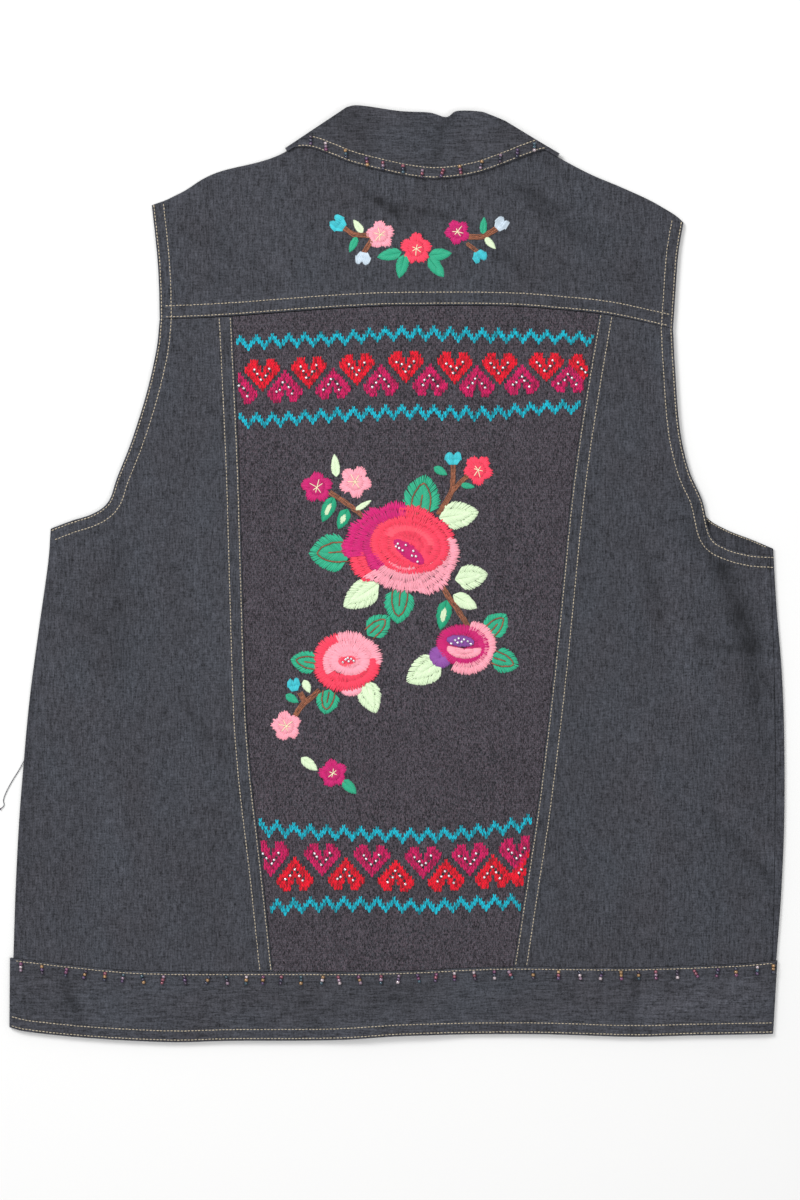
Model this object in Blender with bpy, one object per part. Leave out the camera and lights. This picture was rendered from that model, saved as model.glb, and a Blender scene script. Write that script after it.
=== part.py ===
"""A sleeveless denim vest with a knit centre back, laid flat with its back up.

The garment lies face down. Its two fronts and the front half of the collar rest on the surface, and the
back lies over them. Each sewn piece is one thin closed wall. All sizes below are in millimetres; +X is the
wearer's right, +Y points to the collar and +Z up, out of the back.
"""

import bmesh
import bpy
import numpy as np

MM = 0.001

# Cloth
WALL = 1.2
LEAF_WALL = 1.6
BAND_WALL = 1.6
LAYER_GAP = 0.6
SEAM_GAP = 0.3
NECK_GAP = 1.2
LAP_WIDTH = 12.0
LAP_SLOPE = 1.5
LAP_RAISE = 0.7
COLLAR_LAP_WIDTH = 9.0
COLLAR_LAP_RAISE = 0.4
HEM_RAISE = 0.4

# Stack at a folded side: front, gap, back, about one middle height
FOLD_MIDDLE = WALL + LAYER_GAP / 2
FOLD_INSIDE = LAYER_GAP / 2
FOLD_OUTSIDE = FOLD_INSIDE + WALL
LEAF_REST = 0.5
LEAF_INSIDE = FOLD_OUTSIDE + LEAF_REST
LEAF_OUTSIDE = LEAF_INSIDE + LEAF_WALL
LEAF_LIFT = LEAF_WALL + LEAF_REST
LEAF_MIDDLE = LEAF_LIFT + FOLD_MIDDLE
BAND_MIDDLE = BAND_WALL + LAYER_GAP / 2
BAND_OUTSIDE = FOLD_INSIDE + BAND_WALL

# The fronts lap at the middle by this much, wearer's right front underneath
FRONT_LAP = 27.0
FRONT_LAP_LIFT = BAND_WALL + LEAF_REST
LIFT_RUN = 60.0
LAP_RUN = 45.0
REST_MARGIN = 4.0
NECK_DIP_TOP = 330.0
NECK_DIP_RUN = 66.0

# Sagging and rumpling of the back over the fronts
WAVE_BASE = 1.0
WAVE_EDGE = 30.0
FOLDS = (
    # start x, start y, end x, end y, half width, height
    (-209, 15, -210, -70, 15, -0.7),
    (-160, -92, -134, -132, 12, 0.6),
    (220, 25, 258, -80, 18, -0.7),
    (197, -147, 222, -125, 12, 0.6),
    (190, -50, 268, -58, 8, 0.7),
    (232, -178, 275, -225, 10, 0.6),
    (94, 284, 160, 248, 9, 0.6),
    (73, 241, 136, 208, 9, 0.6),
    (-27, 289, 12, 271, 9, 0.6),
    (-60, 40, 70, 20, 30, 0.5),
    (-40, -130, 60, -150, 28, 0.5),
    (-240, -180, -180, -210, 22, 0.5),
    (-90, 240, 40, 262, 18, 0.5),
)

# Outline as it lies, in points along each edge
LEFT_SIDE = (
    (-288.1, -291.5), (-286.5, -240), (-284, -190), (-281, -150), (-276, -95), (-269, -42), (-262, 8),
    (-260, 34),
)
RIGHT_SIDE = (
    (284.7, -291.5), (288.5, -240), (290.8, -185), (290.8, -125), (289, -75), (285, -25), (282.5, 19),
)
RIGHT_SEAM_LINE = ((281.9, -291.5), (283.5, -220), (284, -150), (283.5, -90), (282, -35), (280, 14))
LEFT_ARMHOLE = (
    (-260, 34), (-244, 40), (-231, 44), (-221, 49.5), (-215, 57), (-210, 72), (-199, 100),
    (-188, 135), (-180.5, 168), (-178, 191),
)
LEFT_ARMHOLE_TOP = ((-178, 191), (-178.5, 215), (-180, 240), (-184, 277))
RIGHT_ARMHOLE = (
    (280, 14), (265, 15), (247, 20), (235.5, 29), (229, 55), (219, 78), (212, 110), (208.5, 155),
    (207, 184),
)
RIGHT_ARMHOLE_TOP = ((207, 184), (208.5, 206), (211, 240), (215, 264))
FRONT_LEFT_ARMHOLE = (
    (-260, 34), (-240, 35), (-219, 44), (-206, 64), (-191, 100), (-180, 135), (-173, 175),
    (-173, 225), (-184, 277),
)
FRONT_RIGHT_ARMHOLE = (
    (282.5, 19), (266, 26), (248, 33), (233, 42), (222, 58), (210, 85), (203, 125), (200, 170),
    (203, 215), (215, 264),
)
LEFT_SHOULDER = (
    (-184, 277), (-173, 281), (-159, 288), (-145, 297), (-130, 303), (-102, 309.5), (-84, 316.5),
    (-63, 330),
)
RIGHT_SHOULDER = (
    (106, 322), (122, 312), (145, 300), (168, 290.5), (190, 280.5), (208, 270), (215, 264),
)
LEFT_FOLD_NORMAL = (-0.555, 0.832)
RIGHT_FOLD_NORMAL = (0.506, 0.862)
ROLL_INSET = 0.02
NECK_RUN_ON = 2.7
TURN_ANGLES = (-90, -45, 0, 45)
LEAF_WIDTH = 54.0
LEAF_SECTIONS = (7, 17, 7)
STAND_SECTIONS = (10, 12, 10)
NECK_SEAM = ((-63, 330), (-42, 323), (-14, 317), (22, 315), (58, 316), (84, 318), (106, 322))
FRONT_NECK_LEFT = ((-63, 330), (-54, 304), (-32, 278), (-5, 263), (33, 256))
FRONT_NECK_RIGHT = ((6, 256), (45, 262), (72, 277), (94, 300), (106, 322))
YOKE_SEAM = (
    (-178, 191), (-133, 193), (-85, 196.5), (-40, 199.5), (2, 201), (79, 201), (125, 198),
    (161, 194), (207, 184),
)
LEFT_PANEL_SEAM = (
    (-93, -298), (-101, -222), (-107, -172), (-110, -142), (-113, -98), (-116, 1), (-118.5, 85),
    (-123.5, 193),
)
RIGHT_PANEL_SEAM = (
    (87, -296), (96.5, -233), (105.5, -173), (115, -95), (122, -27), (128.5, 40), (135, 93),
    (143.5, 148), (151.5, 195),
)
BAND_SEAM = (
    (-290, -288), (-250, -292.5), (-206, -297), (-163, -298.5), (-93, -298.5), (-49, -298.5),
    (2, -297.5), (50, -295.5), (87, -294.5), (175, -295), (251, -292.5), (285, -290),
)
HEM = (
    (-291, -340), (-275, -343.5), (-230, -348), (-170, -351), (-125, -350), (-50, -349.5),
    (10, -346), (100, -345), (175, -347), (220, -346), (282, -345),
)
BAND_LEFT = (-290.6, -291)
BAND_RIGHT = (285.6, 282.4)
ROLL_LINE = (
    (-39, 349.5), (-28, 351), (2, 347), (24, 346), (37, 342.5), (45, 347), (62, 346.5), (70, 344),
    (82, 339),
)
COLLAR_EDGE = (
    (-84, 319.5), (-65, 319.5), (-49.5, 314), (-34, 308), (-11, 302), (8, 298), (27, 296),
    (47, 297.5), (63, 301), (80, 307), (98, 314), (111, 318), (122, 315.5),
)
LEFT_FRONT_ROLL = ((22, 262), (0, 285), (-24, 315), (-39, 349.5))
LEFT_FRONT_EDGE = ((-38, 224), (-56, 252), (-72, 287), (-84, 319.5))
RIGHT_FRONT_ROLL = ((82, 339), (68, 308), (46, 281), (25, 262))
RIGHT_FRONT_EDGE = ((122, 315.5), (112, 283), (98, 251), (82, 224))
CENTRE_FRONT_TOP = (20, 256)
CENTRE_FRONT_FOOT = (-1.5, -298)
UNDERARM_SHARE = 0.53
FRONT_UNDERARM_SHARE = 0.38
FRONT_ROWS = np.array(
    (
        0.05, 0.1, 0.15, 0.2, 0.25, 0.3, 0.345, FRONT_UNDERARM_SHARE, 0.41, 0.45, 0.5, 0.55, 0.6, 0.66, 0.72,
        0.79, 0.86, 0.93,
    )
)
SIDE_ROWS = np.array(
    (
        0.07, 0.14, 0.21, 0.28, 0.35, 0.42, 0.48, UNDERARM_SHARE, 0.56, 0.59, 0.62, 0.65, 0.69, 0.74, 0.79,
        0.84, 0.89, 0.945,
    )
)
SHOULDER_SHARE = 0.5
FRONT_COLUMNS = np.concatenate(
    [np.linspace(0, SHOULDER_SHARE, 8)[1:], (0.57, 0.64, 0.71, 0.78, 0.85, 0.92)]
)
YOKE_SHOULDER_END = 0.31
YOKE_SHOULDER_START = 0.72
RIPPLE_HEIGHT = 0.22
RIPPLE_LENGTHS = (47, 90, 61, 130)
# Shares closer than this are the same line of a grid
SAME_SHARE = 1e-6
# The waistband: how many sections run under each front and over the back, and where its rows lie
BAND_UNDER_SECTIONS = 9
BAND_OVER_SECTIONS = 25
BAND_LOW_ROWS = (0, 0.5, 1.5, 12, 13.5)
BAND_HIGH_SHARES = (0.5, 0.75, 1)
# The collar fall's rows, from its roll, and how far its thin ends drop
LEAF_ROWS = (0, 0.5, 2.0, 16, 30, 43.5)
LEAF_END = 0.8
LEAF_DROPS = (1.0, 0.35, 0.4)
# Half of a right angle's turn: how far along and up a point halfway round a fold lies
HALFWAY = np.sqrt(0.5)

DENIM = (0.070, 0.070, 0.082)
KNIT = (0.080, 0.068, 0.083)


def smooth_path(points, steps=10):
    """A smooth curve through the points, as many short lines."""
    knots = np.array(points, float)
    ends = np.vstack([2 * knots[0] - knots[1], knots, 2 * knots[-1] - knots[-2]])
    found = []
    for before, here, there, after in zip(ends, ends[1:], ends[2:], ends[3:]):
        for step in range(steps):
            t = step / steps
            found.append(
                here
                + (there - before) * t / 2
                + (2 * before - 5 * here + 4 * there - after) * t**2 / 2
                + (3 * here - before - 3 * there + after) * t**3 / 2
            )
    found.append(knots[-1])
    return np.array(found)


def along(path, share):
    """Points at these shares of the path's length."""
    steps = np.hypot(*np.diff(path, axis=0).T)
    run = np.concatenate([[0], np.cumsum(steps)]) / steps.sum()
    return np.stack([np.interp(share, run, path[:, k]) for k in (0, 1)], axis=-1)


def distance(points, path):
    """Plan distance of each point from the path."""
    start = path[:-1]
    step = path[1:] - start
    from_start = points[..., None, :] - start
    t = np.clip((from_start * step).sum(-1) / np.maximum((step * step).sum(-1), 1e-9), 0, 1)
    return np.hypot(*np.moveaxis(from_start - t[..., None] * step, -1, 0)).min(-1)


def ease(x):
    """0 below 0, 1 above 1, smooth between."""
    x = np.clip(x, 0, 1)
    return x * x * (3 - 2 * x)


class Edge:
    """One side of a panel: paths end to end, each with the share of the side that it ends at."""

    def __init__(self, *paths, ends=(1.0,)):
        self.paths = [np.array(path) for path in paths]
        self.ends = ends
        self.path = np.vstack(self.paths)

    def point(self, share):
        share = np.asarray(share, float)
        found = np.zeros(share.shape + (2,))
        start = 0.0
        for path, end in zip(self.paths, self.ends):
            here = (share >= start) & (share <= end)
            found[here] = along(path, (share[here] - start) / (end - start))
            start = end
        return found


class Panel:
    """A cloth panel in plan, spanned between its four sides."""

    def __init__(self, left, right, bottom, top):
        self.left = left
        self.right = right
        self.bottom = bottom
        self.top = top
        self.corners = [bottom.point(0), bottom.point(1), top.point(0), top.point(1)]

    def point(self, u, v):
        a, b, c, d = self.corners
        u_ = u[..., None]
        v_ = v[..., None]
        flat = (1 - u_) * (1 - v_) * a + u_ * (1 - v_) * b + (1 - u_) * v_ * c + u_ * v_ * d
        across = (1 - u_) * self.left.point(v) + u_ * self.right.point(v)
        upward = (1 - v_) * self.bottom.point(u) + v_ * self.top.point(u)
        return across + upward - flat

    def grid(self, left, right, bottom, top, columns, rows, spread=False):
        """Plan points of a grid whose outer lines lie at these depths from the sides.

        The middle lines are at these shares. A depth is a number, or a function of the share along the side.
        With spread, the columns are shares of what the outer lines leave.
        """
        u_count = len(left) + len(columns) + len(right)
        v_count = len(bottom) + len(rows) + len(top)
        first = np.concatenate([np.full(len(left), 0.02), columns, np.full(len(right), 0.98)])
        second = np.concatenate([np.full(len(bottom), 0.02), rows, np.full(len(top), 0.98)])
        u, v = np.meshgrid(first, second, indexing="ij")
        for _ in range(5):
            for k, depth in enumerate(left):
                u[k] = self.at_depth(self.left, depth, v[k], lambda t, k=k: self.point(t, v[k]))
            for k, depth in enumerate(right):
                line = u_count - len(right) + k
                u[line] = 1 - self.at_depth(
                    self.right, depth, v[line], lambda t, k=line: self.point(1 - t, v[k])
                )
            if spread:
                middle = slice(len(left), u_count - len(right))
                start = u[len(left) - 1]
                u[middle] = start + (u[u_count - len(right)] - start) * np.array(columns)[:, None]
            for k, depth in enumerate(bottom):
                v[:, k] = self.at_depth(self.bottom, depth, u[:, k], lambda t, k=k: self.point(u[:, k], t))
            for k, depth in enumerate(top):
                line = v_count - len(top) + k
                v[:, line] = 1 - self.at_depth(
                    self.top, depth, u[:, line], lambda t, k=line: self.point(u[:, k], 1 - t)
                )
        return self.point(u, v), u, v

    @staticmethod
    def at_depth(side, depth, share, place):
        """How far in, as a share, the grid line reaches this depth from the side."""
        wanted = depth(share) if callable(depth) else np.full(share.shape, float(depth))
        low = np.zeros(share.shape)
        high = np.full(share.shape, 0.45)
        for _ in range(22):
            middle = (low + high) / 2
            near = distance(place(middle), side.path) < wanted
            low = np.where(near, middle, low)
            high = np.where(near, high, middle)
        return np.where(wanted <= 0, 0, (low + high) / 2)


def shifted(path, dx, dy):
    return np.array(path) + (dx, dy)


def cut(path, axis, low, high):
    """The stretch of a path whose x (axis 0) or y (axis 1) lies between low and high, ends included."""
    order = path if path[0, axis] < path[-1, axis] else path[::-1]
    values = order[:, axis]
    inner = order[(values > low) & (values < high)]
    ends = [[np.interp(limit, values, order[:, k]) for k in (0, 1)] for limit in (low, high)]
    return np.vstack([ends[0], inner, ends[1]])


left_side = smooth_path(LEFT_SIDE)
right_side = smooth_path(RIGHT_SIDE)
right_seam_line = smooth_path(RIGHT_SEAM_LINE)
left_armhole = smooth_path(LEFT_ARMHOLE)
right_armhole = smooth_path(RIGHT_ARMHOLE)
left_armhole_top = smooth_path(LEFT_ARMHOLE_TOP)
right_armhole_top = smooth_path(RIGHT_ARMHOLE_TOP)
front_left_armhole = smooth_path(FRONT_LEFT_ARMHOLE)
front_right_armhole = smooth_path(FRONT_RIGHT_ARMHOLE)
left_shoulder = smooth_path(LEFT_SHOULDER)
right_shoulder = smooth_path(RIGHT_SHOULDER)
neck_seam = smooth_path(NECK_SEAM)
yoke_seam = smooth_path(YOKE_SEAM)
left_panel_seam = smooth_path(LEFT_PANEL_SEAM)
right_panel_seam = smooth_path(RIGHT_PANEL_SEAM)
band_seam = smooth_path(BAND_SEAM)
hem = smooth_path(HEM)
centre_front = np.array((CENTRE_FRONT_FOOT, CENTRE_FRONT_TOP), float)
leaf_outlines = [
    np.vstack([smooth_path(roll), smooth_path(edge)[::-1], smooth_path(roll)[:1]])
    for roll, edge in ((LEFT_FRONT_ROLL, LEFT_FRONT_EDGE), (RIGHT_FRONT_ROLL[::-1], RIGHT_FRONT_EDGE[::-1]))
]
folded_sides = [left_side, right_side, left_shoulder, right_shoulder, neck_seam]


def inside(points, outline):
    """Whether each point lies inside the closed outline."""
    x = points[..., 0, None]
    y = points[..., 1, None]
    x1, y1 = outline[:-1].T
    x2, y2 = outline[1:].T
    rise = np.where(y1 == y2, 1, y2 - y1)
    crossed = ((y1 > y) != (y2 > y)) & (x < (x2 - x1) * (y - y1) / rise + x1)
    return crossed.sum(-1) % 2 == 1


def leaf_lift(points):
    """How far the front halves of the collar hold the cloth above them off the surface."""
    found = np.zeros(points.shape[:-1])
    for outline in leaf_outlines:
        away = np.where(inside(points, outline), 0, distance(points, outline))
        found = np.maximum(found, LEAF_LIFT * (1 - ease((away - REST_MARGIN) / LIFT_RUN)))
    return found


def front_lap_lift(points):
    """How far the lapped front edges hold the cloth above them up."""
    (x0, y0), (x1, y1) = centre_front
    from_line = points[..., 0] - (x0 + (x1 - x0) * (points[..., 1] - y0) / (y1 - y0))
    away = np.abs(from_line) - FRONT_LAP / 2 - REST_MARGIN
    return FRONT_LAP_LIFT * (1 - ease(away / LAP_RUN)) * ease((NECK_DIP_TOP - points[..., 1]) / NECK_DIP_RUN)


def middle_height(points):
    """Height halfway between front and back."""
    return FOLD_MIDDLE + leaf_lift(points) + front_lap_lift(points)


def wave(points):
    """Extra height of the back over the fronts: a soft rise with a few folds, none at the folded sides."""
    away = np.min([distance(points, side) for side in folded_sides], axis=0)
    found = np.full(points.shape[:-1], WAVE_BASE)
    x, y = points[..., 0], points[..., 1]
    first, second, third, fourth = RIPPLE_LENGTHS
    found += RIPPLE_HEIGHT * np.sin(x / first + y / second + 0.6) * np.cos(y / third - x / fourth)
    for x0, y0, x1, y1, width, height in FOLDS:
        near = distance(points, np.array(((x0, y0), (x1, y1)), float)) / width
        found += height * np.exp(-near * near)
    return found * ease((away - 2) / WAVE_EDGE)


def with_height(points, height):
    height = np.broadcast_to(height, points.shape[:-1])
    return np.concatenate([points, height[..., None]], axis=-1)


def lap(depth, width=LAP_WIDTH, raised=LAP_RAISE):
    """Extra thickness of a turned and topstitched edge at this depth from it."""
    return raised * np.clip((width + LAP_SLOPE - depth) / LAP_SLOPE, 0, 1)


def back_wall(points, inner_points, raised):
    """Outer and inner points of a piece of the back, given in plan."""
    top = middle_height(points) + wave(points)
    outer = with_height(points, top + FOLD_OUTSIDE + raised)
    under = middle_height(inner_points) + wave(inner_points)
    return outer, with_height(inner_points, under + FOLD_INSIDE)


# A folded side, from its end at middle height up to the level cloth: the plan depth and height of each line
FOLD_ANGLES = (0, 30, 60, 90)
OUTER_DEPTHS = [FOLD_OUTSIDE * (1 - np.cos(np.radians(a))) for a in FOLD_ANGLES]
INNER_DEPTHS = [FOLD_OUTSIDE - FOLD_INSIDE * np.cos(np.radians(a)) for a in FOLD_ANGLES]
OUTER_RISES = [max(SEAM_GAP / 2, FOLD_OUTSIDE * np.sin(np.radians(a))) for a in FOLD_ANGLES]
INNER_RISES = [max(SEAM_GAP / 2, FOLD_INSIDE * np.sin(np.radians(a))) for a in FOLD_ANGLES]
FREE_DEPTHS = (0, 0.3, 0.8, 1.5)
FREE_DROPS = (0.45, 0.2, 0.05, 0)


def mesh_object(name, outer, inner, keep=None):
    """One closed wall between two grids of points. keep says which cells of the grid are cloth."""
    count_u, count_v = outer.shape[:2]
    cells = np.ones((count_u - 1, count_v - 1), bool) if keep is None else keep
    mesh = bmesh.new()
    layers = []
    used = np.zeros((count_u, count_v), bool)
    for du in (0, 1):
        for dv in (0, 1):
            used[du : count_u - 1 + du, dv : count_v - 1 + dv] |= cells
    for grid in (outer, inner):
        layers.append(
            {
                (i, j): mesh.verts.new(grid[i, j] * MM)
                for i in range(count_u)
                for j in range(count_v)
                if used[i, j]
            }
        )
    sides = {}
    for i, j in zip(*np.nonzero(cells)):
        loop = ((i, j), (i + 1, j), (i + 1, j + 1), (i, j + 1))
        mesh.faces.new([layers[0][k] for k in loop])
        mesh.faces.new([layers[1][k] for k in reversed(loop)])
        for a, b in zip(loop, loop[1:] + loop[:1]):
            if (b, a) in sides:
                del sides[(b, a)]
            else:
                sides[(a, b)] = True
    for a, b in sides:
        mesh.faces.new([layers[0][b], layers[0][a], layers[1][a], layers[1][b]])
    bmesh.ops.recalc_face_normals(mesh, faces=mesh.faces)
    data = bpy.data.meshes.new(name)
    mesh.to_mesh(data)
    mesh.free()
    made = bpy.data.objects.new(name, data)
    made.data.shade_smooth()
    made.data.set_sharp_from_angle(angle=np.radians(40))
    return made


def edge_depths(folded, free, end):
    """Depths of the lines beside an edge that is folded up to this share of it and free beyond."""
    return [
        (lambda share, a=a, b=b: np.where(share <= end + SAME_SHARE, a, b)) for a, b in zip(folded, free)
    ]


def back_yoke():
    """Back yoke: lapped over the panels below, folded at the shoulders, sewn to the collar stand."""
    half = SEAM_GAP / 2
    panel = Panel(
        Edge(left_armhole_top),
        Edge(right_armhole_top),
        Edge(yoke_seam),
        Edge(
            left_shoulder,
            shifted(neck_seam, 0, -half),
            right_shoulder,
            ends=(YOKE_SHOULDER_END, YOKE_SHOULDER_START, 1.0),
        ),
    )
    columns = np.concatenate(
        [
            np.linspace(0, YOKE_SHOULDER_END, 8)[2:],
            np.linspace(YOKE_SHOULDER_END, YOKE_SHOULDER_START, 12)[1:-1],
            np.linspace(YOKE_SHOULDER_START, 1, 8)[:-2],
        ]
    )
    side = (0, 1.0, LAP_WIDTH, LAP_WIDTH + LAP_SLOPE)

    def on_shoulder(share):
        return (share <= YOKE_SHOULDER_END + SAME_SHARE) | (share >= YOKE_SHOULDER_START - SAME_SHARE)

    def depths(folded):
        return [
            (lambda share, k=k: np.where(on_shoulder(share), folded[k], FREE_DEPTHS[k]))
            for k in (3, 2, 1, 0)
        ]

    seam_side = (half, LAP_WIDTH, LAP_WIDTH + LAP_SLOPE)
    shape = dict(left=side, right=side[::-1], bottom=seam_side, columns=columns)
    rows = np.linspace(0.26, 0.86, 5)
    plan, u, _ = panel.grid(top=depths(OUTER_DEPTHS), rows=rows, **shape)
    inner_plan, _, _ = panel.grid(top=depths(INNER_DEPTHS), rows=rows, **shape)
    lapped = (yoke_seam, left_armhole_top, right_armhole_top)
    raised = np.max([lap(distance(plan, line)) for line in lapped], axis=0)
    outer, inner = back_wall(plan, inner_plan, raised)
    folded = on_shoulder(u[:, -1])
    for line in (1, 2, 3, 4):
        k = line - 1
        outer[folded, -line, 2] = middle_height(plan[folded, -line]) + OUTER_RISES[k]
        inner[folded, -line, 2] = middle_height(inner_plan[folded, -line]) + INNER_RISES[k]
    return mesh_object("back_yoke", outer, inner)


def back_centre_panel():
    """Knit centre panel, under the laps of the pieces round it."""
    half = SEAM_GAP / 2
    top = cut(yoke_seam, 0, -123.5, 152)
    bottom = cut(band_seam, 0, -93, 87)
    left = cut(left_panel_seam, 1, bottom[0, 1], top[0, 1])
    right = cut(right_panel_seam, 1, bottom[-1, 1], top[-1, 1])
    panel = Panel(Edge(left), Edge(right), Edge(bottom), Edge(top))
    side = (half,)
    plan, _, _ = panel.grid(side, side, side, side, np.linspace(0.08, 0.92, 11), SIDE_ROWS)
    outer, inner = back_wall(plan, plan, 0)
    return mesh_object("back_centre_panel", outer, inner)


def back_side_left():
    """Left side panel: folded at the side seam, free at the armhole, lapped over the knit panel."""
    half = SEAM_GAP / 2
    top = cut(yoke_seam, 0, -178, -123.5)
    bottom = cut(band_seam, 0, -288, -93)
    seam = cut(left_panel_seam, 1, bottom[-1, 1], top[-1, 1])
    side = cut(left_side, 1, bottom[0, 1], 34)
    panel = Panel(Edge(side, left_armhole, ends=(UNDERARM_SHARE, 1.0)), Edge(seam), Edge(bottom), Edge(top))

    def depths(folded):
        return edge_depths(folded, FREE_DEPTHS, UNDERARM_SHARE) + [LAP_WIDTH, LAP_WIDTH + LAP_SLOPE]

    shape = dict(
        right=(LAP_WIDTH + LAP_SLOPE, LAP_WIDTH, half),
        bottom=(half,),
        top=(half,),
        columns=np.linspace(0, 1, 8)[1:-1],
        spread=True,
        rows=SIDE_ROWS,
    )
    plan, _, v = panel.grid(left=depths(OUTER_DEPTHS), **shape)
    inner_plan, _, _ = panel.grid(left=depths(INNER_DEPTHS), **shape)
    raised = np.maximum(lap(distance(plan, left_armhole)), lap(distance(plan, left_panel_seam)))
    outer, inner = back_wall(plan, inner_plan, raised)
    folded = v[0] <= UNDERARM_SHARE + SAME_SHARE
    for line in range(4):
        outer[line, folded, 2] = middle_height(plan[line, folded]) + OUTER_RISES[line]
        inner[line, folded, 2] = middle_height(inner_plan[line, folded]) + INNER_RISES[line]
        outer[line, ~folded, 2] -= FREE_DROPS[line]
    return mesh_object("back_side_left", outer, inner)


def back_side_right():
    """Right side panel: its side seam lies just inside the fold, on the back."""
    half = SEAM_GAP / 2
    top = cut(yoke_seam, 0, 152, 207)[::-1]
    bottom = cut(band_seam, 0, 87, 282)[::-1]
    seam = cut(right_panel_seam, 1, bottom[-1, 1], top[-1, 1])
    side = cut(right_seam_line, 1, bottom[0, 1], 14)
    panel = Panel(Edge(side, right_armhole, ends=(UNDERARM_SHARE, 1.0)), Edge(seam), Edge(bottom), Edge(top))
    depths = edge_depths((half, half + 0.8), (0, 0.8), UNDERARM_SHARE - 2 * SAME_SHARE)
    plan, _, v = panel.grid(
        left=depths + [LAP_WIDTH, LAP_WIDTH + LAP_SLOPE],
        right=(LAP_WIDTH + LAP_SLOPE, LAP_WIDTH, half),
        bottom=(half,),
        top=(half,),
        columns=np.linspace(0, 1, 8)[1:-1],
        spread=True,
        rows=SIDE_ROWS,
    )
    raised = np.maximum(lap(distance(plan, right_armhole)), lap(distance(plan, right_panel_seam)))
    outer, inner = back_wall(plan, plan, raised)
    outer[0, v[0] > UNDERARM_SHARE, 2] -= FREE_DROPS[0]
    return mesh_object("back_side_right", outer, inner)


def front_heights(points, lifted):
    """Height of a front's underside."""
    return leaf_lift(points) + (front_lap_lift(points) if lifted else 0)


def neck_depths(folded):
    """Depths of the lines along a front's top: the folded shoulder, then the free neckline."""
    free = [NECK_GAP / 2 + depth for depth in FREE_DEPTHS]
    return edge_depths(folded, free, SHOULDER_SHARE)[::-1]


def fold_shoulder(u, plan, grid, rises):
    """Sets the heights of a front's lines along its shoulder fold."""
    at_shoulder = u[:, -1] <= SHOULDER_SHARE + SAME_SHARE
    for line, rise in enumerate(rises):
        grid[at_shoulder, -1 - line, 2] = middle_height(plan[at_shoulder, -1 - line]) - rise


def front_left():
    """Left front, lapped over the right one at the middle."""
    half = SEAM_GAP / 2
    lap_line = shifted(centre_front, FRONT_LAP / 2, 0)
    bottom = cut(band_seam, 0, -288, lap_line[0, 0])
    side = cut(left_side, 1, bottom[0, 1], 34)
    neck = smooth_path(FRONT_NECK_LEFT)
    top = Edge(left_shoulder, neck, ends=(SHOULDER_SHARE, 1.0))
    edge = np.vstack([bottom[-1], neck[-1]])
    outline = Edge(side, front_left_armhole, ends=(FRONT_UNDERARM_SHARE, 1.0))
    panel = Panel(outline, Edge(edge), Edge(bottom), top)
    shape = dict(right=(1.5, 0), bottom=(half,), columns=FRONT_COLUMNS, rows=FRONT_ROWS)

    def laid_out(folded):
        left = edge_depths(folded, FREE_DEPTHS, FRONT_UNDERARM_SHARE)
        return panel.grid(left=left, top=neck_depths(folded), **shape)

    plan, u, v = laid_out(OUTER_DEPTHS)
    inner_plan, _, _ = laid_out(INNER_DEPTHS)
    outer = with_height(plan, front_heights(plan, True))
    inner = with_height(inner_plan, front_heights(inner_plan, True) + WALL)
    at_side = v[0] <= FRONT_UNDERARM_SHARE + SAME_SHARE
    for line in range(4):
        outer[line, at_side, 2] = middle_height(plan[line, at_side]) - OUTER_RISES[line]
        inner[line, at_side, 2] = middle_height(inner_plan[line, at_side]) - INNER_RISES[line]
    fold_shoulder(u, plan, outer, OUTER_RISES)
    fold_shoulder(u, inner_plan, inner, INNER_RISES)
    return mesh_object("front_left", outer, inner)


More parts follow.
